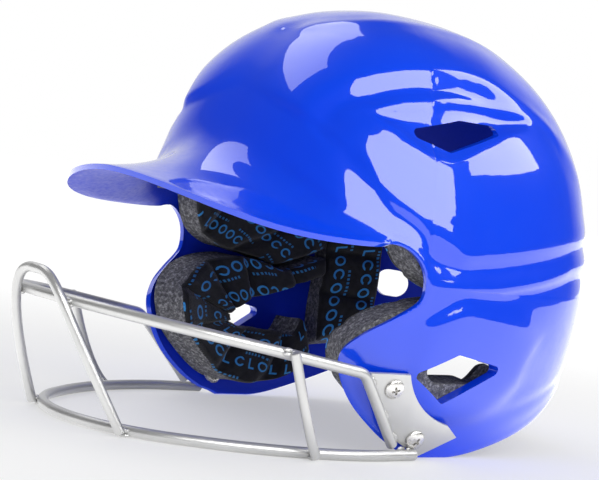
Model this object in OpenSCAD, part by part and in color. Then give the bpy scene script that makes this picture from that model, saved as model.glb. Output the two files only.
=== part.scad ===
// Batting helmet with a wire face guard, standing on a table.
// X runs across the head, -Y is the front with the bill, +Z is up.

/* [Shell] */
// Width of the shell over the ears
shell_width = 212.6; // [206:0.2:222]
// Length of the front half of the shell, from the ear line to the brow
brow_reach = 100.9; // [96:0.1:106]
// Length of the rear half of the shell, from the ear line to the nape
nape_reach = 129.1; // [122:0.1:136]
// Height of the widest line of the shell above the table
wide_height = 83.8; // [82:0.1:86]
// Height of the crown above the widest line
crown_rise = 137.1; // [130:0.1:146]
// Thickness of the moulded shell
wall = 4; // [3:0.1:4.6]
// Squareness of the shell seen from above
plan_power = 2.56; // [2.4:0.01:2.7]
// Squareness of the shell seen from the side
profile_power = 2.3; // [2.2:0.01:2.4]
// Share of the width lost from the widest line down to the table
side_taper = 0.21; // [0.17:0.01:0.23]
// Share of the rear length lost from the widest line down to the table
nape_taper = 0.07; // [0.04:0.01:0.1]

/* [Bill and rim] */
// Reach of the bill tip in front of the ear line
bill_reach = 156; // [150:0.5:164]
// Height of the bill tip
bill_tip_height = 123; // [119:0.5:127]
// Height of the rim where the bill runs into the temple
temple_height = 104.4; // [102:0.2:107]
// Height of the rearmost point of the notch in front of the ear
notch_height = 86; // [85:0.5:90]
// Angle round the shell of the rearmost point of the notch
notch_angle = 74.3; // [72:0.1:77]
// Angle round the shell where the bill ends
bill_angle = 62.5; // [60:0.1:65]

/* [Vents and relief] */
// Depth of the pocket round each upper vent
pocket_depth = 3.5; // [2:0.1:4.5]
// Height of the brow ridge over each upper vent
ridge_height = 2.4; // [1:0.1:3]
// Radius of the corners of each vent and ear hole
vent_corner = 2.5; // [1.5:0.1:3.5]
// Length of each rear vent
rear_vent_length = 20; // [18:1:24]
// Height of each rear vent
rear_vent_height = 16; // [12:1:17]

/* [Face guard] */
// Diameter of the two loops
loop_wire = 5.4; // [4.8:0.1:6]
// Diameter of the arch and the side bars
bar_wire = 4.8; // [4:0.1:5.6]
// Reach of the lower loop in front of the ear line
lower_reach = 161.2; // [154:0.2:166]
// Reach of the upper loop in front of the ear line
upper_reach = 180.5; // [176:0.5:186]
// Height of the front of the upper loop
upper_height = 59.8; // [54:0.2:66]
// Drop of the upper loop per millimetre towards the ear
loop_slope = 0.131; // [0.1:0.001:0.16]
// Height of the top of the arch above the front of the upper loop
arch_rise = 11.6; // [8:0.2:15]
// Distance from the front of the lower loop back to the feet of the arch
arch_back = 10; // [6:0.5:14]

/* [Guard fixing] */
// Thickness of the fixing plates
plate_thickness = 2; // [1.5:0.1:2.5]
// Shank diameter of the guard screws
screw_size = 5; // [4:0.1:5]
// Head diameter of the guard screws
screw_head = 10; // [9:0.2:11.4]
// Clearance between each shank and its hole
hole_clearance = 0.25; // [0.15:0.05:0.4]
// Flange diameter of the nuts inside the ear flaps
nut_flange = 14; // [12:0.5:16]

/* [Pads] */
// Thickness of the ear pads
ear_thickness = 23.5; // [20:0.5:24]
// Thickness of the temple pads
temple_thickness = 19; // [16:0.5:20]
// Thickness of the rear pads
rear_thickness = 19; // [16:0.5:20]
// Thickness of the forehead pad
forehead_thickness = 12; // [9:0.5:14]
// Thickness of the nape pad
nape_thickness = 14; // [10:0.5:16]
// Thickness of the crown pad
crown_thickness = 12; // [9:0.5:14]
// Thickness of the fabric that faces the head
cover_thickness = 1.2; // [0.8:0.1:1.6]
// Gap between the layers
fit_gap = 0.3; // [0.3:0.05:0.4]

/* [Hidden] */

blue = [0.02, 0.26, 0.92];
silver = [0.72, 0.72, 0.71];
foam_grey = [0.45, 0.45, 0.47];
fabric_black = [0.05, 0.05, 0.06];
zinc = [0.78, 0.78, 0.76];

half_width = shell_width / 2;
// Gap left where two pieces only touch
touch = 0.05;
loop_r = loop_wire / 2;
bar_r = bar_wire / 2;

// Bill outline in plan: |x/half|^side + |y/depth|^front = 1
bill_side_power = 1.81;
bill_front_power = 3.36;
bill_rise_power = 2.29;

// Curve helpers
function sgn_pow(v, e) = sign(v) * pow(abs(v), e);
function unit(v) = v / norm(v);
function mix(a, b, t) = a + (b - a) * t;
function ease(t) = let (c = min(1, max(0, t))) c * c * (3 - 2 * c);
function cubic(p0, p1, p2, p3, t) =
    p0 * pow(1 - t, 3) + p1 * 3 * t * pow(1 - t, 2) + p2 * 3 * t * t * (1 - t) + p3 * pow(t, 3);
function at_index(points, i) = points[min(len(points) - 1, max(0, i))];
// Smooth curve through every point of a list, with t from 0 to 1
function through(points, t) =
    let (
        s = t * (len(points) - 1),
        i = min(len(points) - 2, floor(s)),
        f = s - i,
        a = at_index(points, i),
        b = at_index(points, i + 1),
        da = (b - at_index(points, i - 1)) / 2,
        db = (at_index(points, i + 2) - a) / 2
    )
    cubic(a, a + da / 3, b - db / 3, b, f);

// Skull: plan angle 0 is the front, 90 the wearer's left, 180 the rear
function lift_share(z) = min(1, max(0, (z - wide_height) / crown_rise));
function drop_share(z) = max(0, (wide_height - z) / wide_height);
function front_scale(z) = 1 - side_taper * pow(drop_share(z), 1.7);
function rear_scale(z) = 1 - nape_taper * pow(drop_share(z), 2);
function dome_scale(z) = pow(1 - pow(lift_share(z), profile_power), 1 / profile_power);
function half_length(a, z) =
    cos(a) > 0 ? brow_reach * front_scale(z) : nape_reach * rear_scale(z);
function skull(a, z) =
    let (k = dome_scale(z), e = 2 / plan_power)
    [
        half_width * front_scale(z) * k * sgn_pow(sin(a), e),
        -half_length(a, z) * k * sgn_pow(cos(a), e),
        z
    ];
function height_at(profile_angle) =
    wide_height + crown_rise * pow(sin(profile_angle), 2 / profile_power);
function profile_angle(z) = asin(pow(lift_share(z), profile_power / 2));
function angle_at(y, z) =
    let (q = pow(min(1, abs(y) / half_length(y < 0 ? 0 : 180, z)), plan_power / 2))
    y < 0 ? acos(q) : 180 - acos(q);
function skull_normal(a, z) =
    let (d = 0.4)
    unit(cross(skull(a + d, z) - skull(a - d, z), skull(a, z + d) - skull(a, z - d)));

// Rim of the dome: the bill edge, then the top of the notch, then the joint with the skirt
bill_root_y = -brow_reach * sgn_pow(cos(bill_angle), 2 / plan_power);
bill_root_x = half_width * pow(sin(bill_angle), 2 / plan_power);
function bill_edge(a) =
    let (
        w = abs(a) / bill_angle,
        q = 90 * (1 - pow(1 - w, 2)),
        z = temple_height + (bill_tip_height - temple_height) * pow(cos(q), bill_rise_power)
    )
    [
        sign(a) * bill_root_x * pow(sin(q), 2 / bill_side_power),
        bill_root_y - (bill_reach + bill_root_y) * pow(cos(q), 2 / bill_front_power),
        z
    ];
function notch_share(a) = min(1, (abs(a) - bill_angle) / (notch_angle - bill_angle));
function rim_height(a) =
    notch_height + (temple_height - notch_height) * sqrt(1 - pow(notch_share(a), 2));
function rim_point(a) = abs(a) < bill_angle ? bill_edge(a) : skull(a, rim_height(a));

// Dome surface: v is 0 at the crown and 1 at the rim
dome_share = 0.66;
function bill_fillet(a, t) =
    let (
        tip = rim_point(a),
        root = skull(a, tip.z),
        out = tip - root,
        blend = 13 + 0.16 * norm(out)
    )
    cubic(
        skull(a, tip.z + blend),
        skull(a, tip.z + blend * 0.38) + out * 0.02,
        skull(a, tip.z + blend * 0.16) + out * 0.36,
        tip,
        t
    );
function dome(a, v) =
    let (
        tip = rim_point(a),
        start = tip.z + 13 + 0.16 * norm(tip - skull(a, tip.z))
    )
    v < dome_share
        ? skull(a, height_at(mix(90, profile_angle(start), v / dome_share)))
        : bill_fillet(a, (v - dome_share) / (1 - dome_share));
function dome_normal(a, v) =
    let (d = 0.004, lo = max(0.001, v - d), hi = min(1, v + d))
    unit(cross(dome(a, lo) - dome(a, hi), dome(a + 0.4, v) - dome(a - 0.4, v)) * -1);

// Skirt surface: w is 0 at the joint and 1 at the lower edge
flap_front = [
    [0, 74.3], [0.09, 73.2], [0.19, 66.5], [0.3, 57.6], [0.41, 51.4],
    [0.53, 51.6], [0.7, 57.5], [0.86, 68.5], [0.95, 77.5], [1, 85]
];
lower_edge = [[85, 0], [93, 0], [101, 4], [118, 16], [137, 33], [157, 41], [180, 43]];
function table_value(table, x) =
    let (
        n = len(table),
        i = max([for (k = [0:n - 2]) if (x >= table[k][0] || k == 0) k]),
        x0 = table[i][0],
        x1 = table[i + 1][0],
        f = min(1, max(0, (x - x0) / (x1 - x0))),
        y0 = table[i][1],
        y1 = table[i + 1][1],
        before = at_index(table, i - 1),
        after = at_index(table, i + 2),
        m0 = i == 0 ? 0 : (y1 - before[1]) / (x1 - before[0]),
        m1 = i == n - 2 ? 0 : (after[1] - y0) / (after[0] - x0),
        run = (x1 - x0) / 3
    )
    cubic(y0, y0 + m0 * run, y1 - m1 * run, y1, f);
function flap_angle(w) = table_value(flap_front, w) + notch_angle - flap_front[0][1];
function skirt_angle(c, w) = mix(flap_angle(w), 180, c);
function skirt_height(c, w) =
    mix(notch_height, max(0, table_value(lower_edge, skirt_angle(c, w))), w);

// Relief of the outer face, as a height above the plain skull
function bell(v) = exp(-v * v);
// Distance inside a convex outline whose corners run clockwise in the side view
function inside_outline(corners, q) =
    min([for (i = [0:len(corners) - 1])
        let (a = corners[i], along = unit(corners[(i + 1) % len(corners)] - a))
        (q - a) * [along.y, -along.x]]);
// Brow: the crown steps down to the sides across a facet that follows an arc
brow_centre = [-15, 108];
brow_radius = 76;
brow_facet = 8;
brow_foot = 2;
brow_reach_up = 18;
brow_reach_down = 7;
function brow(q) =
    let (
        out = norm(q - brow_centre) - brow_radius,
        fade = ease((q.y - 128) / 34) * ease((56 - q.x) / 26)
    )
    fade * (out > brow_facet ? ridge_height * bell((out - brow_facet) / brow_reach_up)
        : out > 0 ? mix(-brow_foot, ridge_height, out / brow_facet)
        : -brow_foot * bell(out / brow_reach_down));
// Eye-shaped pocket round each upper vent
pocket_corners = [
    [-59, 164], [-32, 174], [-2, 178], [39, 173], [18, 165], [-6, 154], [-23, 147], [-42, 151]
];
pocket_slope = 5.5;
function pocket(q) =
    let (d = min(1, max(0, inside_outline(pocket_corners, q) / pocket_slope)))
    pocket_depth * (1 - pow(1 - d, 1.5));
function relief(p) =
    let (q = [p.y, p.z], side = ease((abs(p.x) - 40) / 20))
    side * (brow(q) - pocket(q));
// Bulge of each ear flap, seen from the side; it ends short of the scooped edge of the plate
bulge_height = 1.6;
bulge_corners = [[-40, 64], [-15, 77], [12, 77], [49, 66], [59, 48], [36, 27], [2, 8], [-30, 20], [-52, 45]];
bulge_slope = 10;
bulge_margin = 2;
function ear_bulge(a, z) =
    let (
        q = [skull(a, z).y, z],
        room = scoop_radius - bulge_margin - norm(q - scoop_centre)
    )
    bulge_height * ease(min(room, inside_outline(bulge_corners, q)) / bulge_slope);

// Closed patch from a grid of outer points and a grid of inner points
function grid_faces(rows, cols, start, flip) = [
    for (i = [0:rows - 2]) for (j = [0:cols - 2])
    for (half = [0, 1])
    let (
        a = start + i * cols + j,
        b = a + 1,
        c = a + cols,
        d = c + 1,
        f = half == 0 ? [a, c, d] : [a, d, b]
    )
    flip ? [f[2], f[1], f[0]] : f
];
module patch(outer, inner) {
    rows = len(outer);
    cols = len(outer[0]);
    count = rows * cols;
    edge = concat(
        [for (j = [0:cols - 1]) j],
        [for (i = [1:rows - 1]) i * cols + cols - 1],
        [for (j = [cols - 2:-1:0]) (rows - 1) * cols + j],
        [for (i = [rows - 2:-1:1]) i * cols]
    );
    polyhedron(
        points = concat([for (r = outer) each r], [for (r = inner) each r]),
        faces = concat(
            grid_faces(rows, cols, 0, true),
            grid_faces(rows, cols, count, false),
            [for (k = [0:len(edge) - 1])
                let (a = edge[k], b = edge[(k + 1) % len(edge)])
                each [[b + count, b, a], [a + count, b + count, a]]]
        )
    );
}

bill_cols = 14;
notch_cols = 5;
side_cols = 18;
skirt_rows = 10;
// Columns stand closer over the ears and rows closer at the brow, where the relief is
side_shares = [for (i = [0:side_cols]) let (t = i / side_cols) t < 0.4 ? 0.76 * t : 0.304 + 1.16 * (t - 0.4)];
row_knots = [[0, 0], [0.26, 0.29], [0.61, 0.54], [0.74, 0.66], [1, 1]];
dome_rows = 23;
function row_share(t) =
    let (
        n = len(row_knots),
        i = max([for (k = [0:n - 2]) if (t >= row_knots[k][0]) k]),
        a = row_knots[i],
        b = row_knots[i + 1]
    )
    mix(a[1], b[1], (t - a[0]) / (b[0] - a[0]));
side_angles = concat(
    [for (i = [0:bill_cols - 1]) bill_angle * i / bill_cols],
    [for (i = [0:notch_cols - 1]) mix(bill_angle, notch_angle, sin(90 * i / notch_cols))],
    [for (t = side_shares) mix(notch_angle, 180, t)]
);
ring_angles = concat(
    side_angles,
    [for (i = [len(side_angles) - 2:-1:1]) -side_angles[i]]
);
function level_inset(a, z) =
    let (n = skull_normal(a, z))
    skull(a, z) - wall * unit([n.x, n.y, 0]);
function at_joint(a, v) = v > 0.999 && abs(a) > notch_angle - 0.01;
function dome_outer(a, v) =
    let (p = dome(a, v))
    at_joint(a, v) ? p : p + relief(p) * dome_normal(a, v);
function dome_inner(a, v) =
    at_joint(a, v) ? level_inset(a, rim_height(a)) : dome(a, v) - wall * dome_normal(a, v);

module dome_body() {
    n = len(ring_angles);
    top = [0, 0, wide_height + crown_rise];
    outer = [for (i = [1:dome_rows]) for (a = ring_angles) dome_outer(a, row_share(i / dome_rows))];
    inner = [for (i = [1:dome_rows]) for (a = ring_angles) dome_inner(a, row_share(i / dome_rows))];
    count = len(outer);
    last = (dome_rows - 1) * n;
    polyhedron(
        points = concat(outer, inner, [top, top - [0, 0, wall]]),
        faces = concat(
            [for (i = [0:dome_rows - 2]) for (j = [0:n - 1])
                let (a = i * n + j, b = i * n + (j + 1) % n)
                each [
                    [a, b, b + n], [a, b + n, a + n],
                    [b + n + count, b + count, a + count], [a + n + count, b + n + count, a + count]
                ]],
            [for (j = [0:n - 1])
                let (b = (j + 1) % n)
                each [
                    [2 * count, b, j],
                    [2 * count + 1, j + count, b + count],
                    [last + j, last + b, last + b + count],
                    [last + j, last + b + count, last + j + count]
                ]]
        )
    );
}
module skirt_side() {
    outer = [for (i = [0:skirt_rows]) [for (c = side_shares)
        let (w = i / skirt_rows, a = skirt_angle(c, w), z = skirt_height(c, w))
        skull(a, z) + ear_bulge(a, z) * skull_normal(a, z)]];
    inner = [for (i = [0:skirt_rows]) [for (c = side_shares)
        let (w = i / skirt_rows)
        level_inset(skirt_angle(c, w), skirt_height(c, w))]];
    patch(outer, inner);
}

// Openings of the shell, as corner points seen from the side
vent_corners = [[-38, 158], [-12, 165], [9, 165], [-22, 153.5]];
ear_hole_corners = [[-9, 52], [18, 47.5], [-10, 32], [-27.5, 43]];
rear_vent_angle = 140;
rear_vent_z = 73;
side_reach = 2 * half_width;
module side_hole(corners, grow, depth) {
    hull()
    for (p = corners)
        translate([depth, p[0], p[1]])
            rotate([0, 90, 0]) cylinder(r = vent_corner + grow, h = side_reach, $fn = 20);
}
module rear_slot(grow, depth) {
    p = skull(rear_vent_angle, rear_vent_z);
    turn = atan2(p.y, p.x);
    half = (rear_vent_length - rear_vent_height) / 2;
    translate(p) rotate([0, 0, turn])
        hull()
        for (s = [-1, 1])
            translate([depth, s * half, 0])
                rotate([0, 90, 0]) cylinder(d = rear_vent_height + 2 * grow, h = 60, $fn = 24);
}
edge_bevel = 1;
module side_openings() {
    side_hole(vent_corners, 0, half_width * 0.5);
    side_hole(ear_hole_corners, 0, half_width * 0.5);
    rear_slot(0, -30);
    rear_slot(edge_bevel, -edge_bevel);
    screw_holes();
}

// Fixing plate: a flat plane laid on the ear flap, with its outline seen from the side
plate_mid = [-27, 24];
plate_angle = angle_at(plate_mid.x, plate_mid.y);
plate_normal = skull_normal(plate_angle, plate_mid.y);
plate_along = unit(cross([0, 0, 1], plate_normal));
plate_up = cross(plate_normal, plate_along);
plate_base = skull(plate_angle, plate_mid.y) + plate_normal * fit_gap;
// Place on the plate's plane of a point given in the side view
function on_plate(p) =
    let (
        v = (p.y - plate_base.z) / plate_up.z,
        u = (p.x - plate_base.y - v * plate_up.y) / plate_along.y
    )
    [u, v];
module on_flap() {
    multmatrix([
        [plate_along.x, plate_up.x, plate_normal.x, plate_base.x],
        [plate_along.y, plate_up.y, plate_normal.y, plate_base.y],
        [plate_along.z, plate_up.z, plate_normal.z, plate_base.z],
        [0, 0, 0, 1]
    ])
    children();
}
function flap_point(p, h) =
    let (q = on_plate(p))
    plate_base + q.x * plate_along + q.y * plate_up + h * plate_normal;
// Where the plane is at a given y and z, a distance h outside its inner face
function plane_x(y, z, h) =
    plate_base.x + (h - plate_normal.y * (y - plate_base.y) - plate_normal.z * (z - plate_base.z))
        / plate_normal.x;
screw_spots = [[-41, 36.5], [-18, 11]];
hole_d = screw_size + 2 * hole_clearance;
// The barrel of each nut reaches into the shell, so its hole is wider
barrel_room = 1.6;
module screw_holes() {
    on_flap() for (s = screw_spots)
        translate([each on_plate(s), -30]) cylinder(d = hole_d + barrel_room, h = 60, $fn = 24);
}
// Front edge of the plate, where the upper loop runs down
edge_top = [-60.5, 43.5];
edge_foot = [-29.5, 7.6];
plate_tip = [6, 13];
plate_back = [-38, 46.5];
plate_heel = [-12, 2];
scoop_centre = [6, 61];
scoop_radius = 46;
module plate_outline() {
    along = unit(edge_foot - edge_top);
    back = [-along.y, along.x] * (loop_r + touch);
    difference() {
        polygon([
            on_plate(edge_top + back + along * 2.5), on_plate(edge_foot + back),
            on_plate(plate_heel), on_plate(plate_tip), on_plate(plate_back)
        ]);
        translate(on_plate(scoop_centre)) circle(r = scoop_radius, $fn = 96);
    }
}
module plate() {
    on_flap() difference() {
        linear_extrude(plate_thickness) plate_outline();
        for (s = screw_spots)
            translate([each on_plate(s), -1]) cylinder(d = hole_d, h = plate_thickness + 2, $fn = 32);
    }
}
nut_barrel = screw_size + 1.8;
nut_height = 3;
nut_lip = 1.6;
thread_gap = 0.1;
// Depth from the plate's inner face to the seat of a nut, past the curve of the flap
flap_depth = wall + 2.8;
head_height = 2.6;
head_dome = screw_head * 0.9;
slot_length = 4.8;
slot_width = 1;
slot_depth = 1.6;
shank_root = 0.5;
shank_end = 1;
module screws() {
    on_flap() for (s = screw_spots)
        translate([each on_plate(s), 0]) {
            translate([0, 0, plate_thickness]) difference() {
                intersection() {
                    cylinder(d = screw_head, h = head_height, $fn = 40);
                    translate([0, 0, head_height - head_dome]) sphere(r = head_dome, $fn = 48);
                }
                for (turn = [0, 90])
                    rotate([0, 0, turn])
                        translate([-slot_length / 2, -slot_width / 2, head_height - slot_depth])
                            cube([slot_length, slot_width, slot_depth + 1]);
            }
            translate([0, 0, -flap_depth - shank_end])
                cylinder(d = screw_size, h = flap_depth + shank_end + plate_thickness + shank_root, $fn = 32);
        }
}
module nuts() {
    on_flap() for (s = screw_spots)
        translate([each on_plate(s), -flap_depth])
            difference() {
                union() {
                    cylinder(d = nut_barrel, h = nut_height, $fn = 32);
                    translate([0, 0, -nut_lip]) cylinder(d = nut_flange, h = nut_lip, $fn = 40);
                }
                translate([0, 0, -nut_height])
                    cylinder(d = screw_size + thread_gap, h = 3 * nut_height, $fn = 32);
            }
}

// Wires: a round bar swept along points, with the bends of each wire worked out first
function turn_between(a, b) = acos(min(1, max(-1, a * b)));
bend_step = 7;
// Points along one rounded corner
function bend_points(corner, before, after, take) =
    let (
        turn = turn_between(before, after),
        radius = take / tan(turn / 2),
        centre = corner + unit(after - before) * radius / cos(turn / 2),
        start = unit(corner - before * take - centre),
        side = cross(unit(cross(before, after)), start),
        count = max(2, ceil(turn / bend_step))
    )
    [for (k = [0:count]) centre + radius * (start * cos(turn * k / count) + side * sin(turn * k / count))];
// Wire through corner points; bends are radii, eased where two bends would meet
function bent_path(corners, bends) =
    let (
        n = len(corners),
        dirs = [for (i = [0:n - 2]) unit(corners[i + 1] - corners[i])],
        runs = [for (i = [0:n - 2]) norm(corners[i + 1] - corners[i])],
        wanted = [for (i = [0:n - 1]) i == 0 || i == n - 1 ? 0
            : bends[i - 1] * tan(turn_between(dirs[i - 1], dirs[i]) / 2)],
        room = [for (i = [0:n - 2]) min(1, runs[i] / (wanted[i] + wanted[i + 1]) * 0.98)]
    )
    [
        corners[0],
        for (i = [1:n - 2])
            each bend_points(corners[i], dirs[i - 1], dirs[i], wanted[i] * min(room[i - 1], room[i])),
        corners[n - 1]
    ];
module swept_wire(path, r, sides, reference) {
    n = len(path);
    tangents = [for (i = [0:n - 1]) unit(path[min(n - 1, i + 1)] - path[max(0, i - 1)])];
    across = [for (t = tangents) unit(cross(t, reference))];
    rings = [for (i = [0:n - 1]) for (k = [0:sides - 1])
        let (q = 360 * k / sides, b = cross(tangents[i], across[i]))
        path[i] + r * (cos(q) * across[i] + sin(q) * b)];
    polyhedron(
        points = rings,
        faces = concat(
            [[for (k = [0:sides - 1]) k]],
            [[for (k = [sides - 1:-1:0]) (n - 1) * sides + k]],
            [for (i = [0:n - 2]) for (k = [0:sides - 1])
                let (a = i * sides + k, b = i * sides + (k + 1) % sides)
                each [[a, a + sides, b + sides], [a, b + sides, b]]]
        )
    );
}
function mirrored(list) = [for (p = list) [-p.x, p.y, p.z]];
function reversed(list) = [for (i = [len(list) - 1:-1:0]) list[i]];
loop_sides = 12;
bar_sides = 10;

// Lower loop: a nose arc and two cheek arcs, flat on the table
lower_nose_bend = 74.4;
lower_nose_turn = 53.4;
lower_cheek_bend = 170.8;
lower_apex = lower_reach + lower_nose_bend * (1 / cos(lower_nose_turn) - 1);
lower_end_y = -17;
lower_end_x = plane_x(lower_end_y, loop_r, plate_thickness + loop_r + touch);
lower_cheek = [88.8, -92.1, loop_r];
lower_bend_y = -46;
lower_bend_out = 1.6;
lower_end_bend = 80;
lower_half = [
    lower_cheek,
    [lower_end_x + lower_bend_out, lower_bend_y, loop_r],
    [lower_end_x, lower_end_y, loop_r]
];
lower_points = bent_path(
    concat(reversed(mirrored(lower_half)), [[0, -lower_apex, loop_r]], lower_half),
    [lower_end_bend, lower_cheek_bend, lower_nose_bend, lower_cheek_bend, lower_end_bend]);

// Upper loop: tilted, then bent down along the front edge of each plate
upper_nose_bend = 98.8;
upper_nose_turn = 51.1;
upper_cheek_bend = 64.3;
plate_bend = 9;
upper_apex = upper_reach + upper_nose_bend * (1 / cos(upper_nose_turn) - 1);
function upper_z(y) = upper_height - loop_slope * (y + upper_reach);
upper_cheek = [89.6, -127.9];
upper_half = [
    [upper_cheek.x, upper_cheek.y, upper_z(upper_cheek.y)],
    flap_point(edge_top, loop_r + touch),
    flap_point(edge_foot, loop_r + touch)
];
upper_points = bent_path(
    concat(reversed(mirrored(upper_half)), [[0, -upper_apex, upper_z(-upper_apex)]], upper_half),
    [plate_bend, upper_cheek_bend, upper_nose_bend, upper_cheek_bend, plate_bend]);

// Arch and side bars: welded to the outer side of both loops
wire_gap = loop_r + bar_r + touch;
// Point beside the left half of a loop, level with y
function beside(path, y, gap) =
    let (
        i = max([for (k = [0:len(path) - 2]) if (path[k].x > 0 && path[k].y <= y) k]),
        p = path[i],
        q = path[i + 1],
        f = (y - p.y) / (q.y - p.y),
        out = unit([q.y - p.y, p.x - q.x, 0])
    )
    p + (q - p) * f + out * gap;
arch_steps = 12;
arch_foot_z = bar_r * 0.6;
arch_foot = beside(lower_points, -lower_reach + arch_back, wire_gap) + [0, 0, arch_foot_z - loop_r];
arch_high = [0, -upper_reach - wire_gap, upper_height + arch_rise];
arch_shoulder = [15.7, 3.4, 0];
arch_knee = [23.5, -4.8, -3.4];
function arch_curve(top, t) = cubic(top, top + arch_shoulder, top + arch_knee, arch_foot, t);
// How far forward the top has to move for the arch to pass in front of the upper loop at t
function lead_at(t) =
    let (
        p = arch_curve(arch_high, t),
        i = max([for (k = [0:len(upper_points) - 2]) if (upper_points[k].x <= p.x && upper_points[k].y < 0) k]),
        a = upper_points[i],
        run = upper_points[i + 1] - a,
        loop = a + run * (p.x - a.x) / run.x,
        apart = pow(wire_gap, 2) - pow(p.z - loop.z, 2),
        room = sqrt(max(0, apart)) * norm([run.x, run.y]) / run.x
    )
    apart > 0 ? [(p.y + room - loop.y) / (1 - pow(t, 3))] : [];
arch_tests = 4 * arch_steps;
arch_lead = max([for (i = [0:arch_tests - 1]) each lead_at(i / arch_tests)]);
arch_top = arch_high - [0, arch_lead, 0];
function arch_point(t) = arch_curve(arch_top, t);
arch_half = [for (i = [1:arch_steps]) arch_point(i / arch_steps)];
arch_points = concat(reversed(mirrored(arch_half)), [arch_top], arch_half);
bar_foot_y = -79;
bar_foot_z = bar_r * 0.85;
bar_top_y = -104.5;
bar_top_rise = loop_r * 0.6;
bar_foot = beside(lower_points, bar_foot_y, wire_gap) + [0, 0, bar_foot_z - loop_r];
bar_top = beside(upper_points, bar_top_y, wire_gap) + [0, 0, bar_top_rise];
bar_bow = [98, -91, 12];
bar_steps = 10;
bar_points = [for (i = [0:bar_steps])
    let (t = i / bar_steps)
    bar_foot * pow(1 - t, 2) + bar_bow * 2 * t * (1 - t) + bar_top * t * t];

// Pads: a strip between two edges on the inner face of the shell
function inside(a, z, depth) = skull(a, z) - skull_normal(a, z) * (wall + depth);
// Place q across a pad, from -1 at its first edge to 1 at its second
function across_pad(ribs, t, q) =
    let (r = through(ribs, t))
    mix([r[0], r[1]], [r[2], r[3]], (1 + q) / 2);
function groove(t, count) = pow(abs(cos(180 * t * count)), 14);
function taper(t) = 0.8 + 0.2 * pow(1 - pow(abs(2 * t - 1), 10), 0.25);
pad_crown = [[1, 0.86], [0.92, 0.97], [0.45, 1], [-0.45, 1], [-0.92, 0.97], [-1, 0.86]];
pad_profile = concat([[-1, 0], [1, 0]], pad_crown);
groove_share = 0.12;
// Point of a pad: q is its place in the profile and extra its height over the foam
function pad_point(pad, t, q, extra) =
    let (
        spot = across_pad(pad[0], t, q.x * taper(t)),
        top = pad[1] * (1 - groove_share * groove(t, pad[2])),
        out = skull_normal(spot[0], spot[1]),
        rise = (top - fit_gap) * q.y + extra,
        lean = pad[4] == no_lean ? out : mix(out, pad[4], slab_share)
    )
    inside(spot[0], spot[1], fit_gap) - rise * unit(lean);
module foam(pad) {
    n = len(pad_profile);
    steps = pad[3];
    rings = [for (i = [0:steps]) for (q = pad_profile) pad_point(pad, i / steps, q, 0)];
    polyhedron(
        points = rings,
        faces = concat(
            [[for (k = [n - 1:-1:0]) k]],
            [[for (k = [0:n - 1]) steps * n + k]],
            [for (i = [0:steps - 1]) for (k = [0:n - 1])
                let (a = i * n + k, b = i * n + (k + 1) % n)
                each [[a, b, b + n], [a, b + n, a + n]]]
        )
    );
}
module cover(pad) {
    function layer(extra) = [for (i = [0:pad[3]]) [for (q = pad_crown)
        pad_point(pad, i / pad[3], q, extra)]];
    patch(layer(fit_gap + cover_thickness), layer(fit_gap));
}

// Ribs of the pads: angle and height of one edge, then of the edge across the pad
ear_ribs = [
    [107, 84.5, 107, 73], [101, 79, 102.5, 69], [95, 73.5, 97, 63], [89, 79, 91, 57], [82.5, 79, 87, 51],
    [72, 74.5, 84.5, 48], [61, 66, 83, 46], [53, 53.5, 82, 44.5], [54, 38, 82.5, 41.5], [64, 24, 85, 38],
    [76, 11, 90, 37.5], [87, 7, 94, 37.5], [95, 12, 98, 36], [103, 22, 101, 47]
];
temple_ribs = [
    [63, 119, 78, 146], [71, 96, 90, 137], [80, 85.5, 101, 124], [89, 81.5, 108, 108], [95, 75.5, 109, 88.5]
];
rear_ribs = [
    [111.5, 121, 134, 118], [111.5, 95, 134, 95], [111.5, 75, 134, 73], [110, 52, 132, 52], [109, 29, 126, 34]
];
forehead_ribs = [
    [-42, 113, -42, 151], [-22, 116, -22, 154], [0, 117, 0, 155], [22, 116, 22, 154], [42, 113, 42, 151]
];
nape_ribs = [[165, 57, 165, 91], [174, 59, 174, 93], [186, 59, 186, 93], [195, 57, 195, 91]];
// Side pads are cut as flat slabs: their edges run mostly along one line, not along each normal
ear_lean = unit([0.98, -0.2, 0]);
temple_lean = [1, 0, 0];
no_lean = [0, 0, 0];
slab_share = 0.8;

// Each pad: ribs, thickness, quilted panels, steps along it, lean of its sides
ear_pad = [ear_ribs, ear_thickness, 8, 34, ear_lean];
temple_pad = [temple_ribs, temple_thickness, 3, 12, temple_lean];
rear_pad = [rear_ribs, rear_thickness, 3, 12, no_lean];
forehead_pad = [forehead_ribs, forehead_thickness, 6, 24, no_lean];
nape_pad = [nape_ribs, nape_thickness, 2, 10, no_lean];

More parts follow.
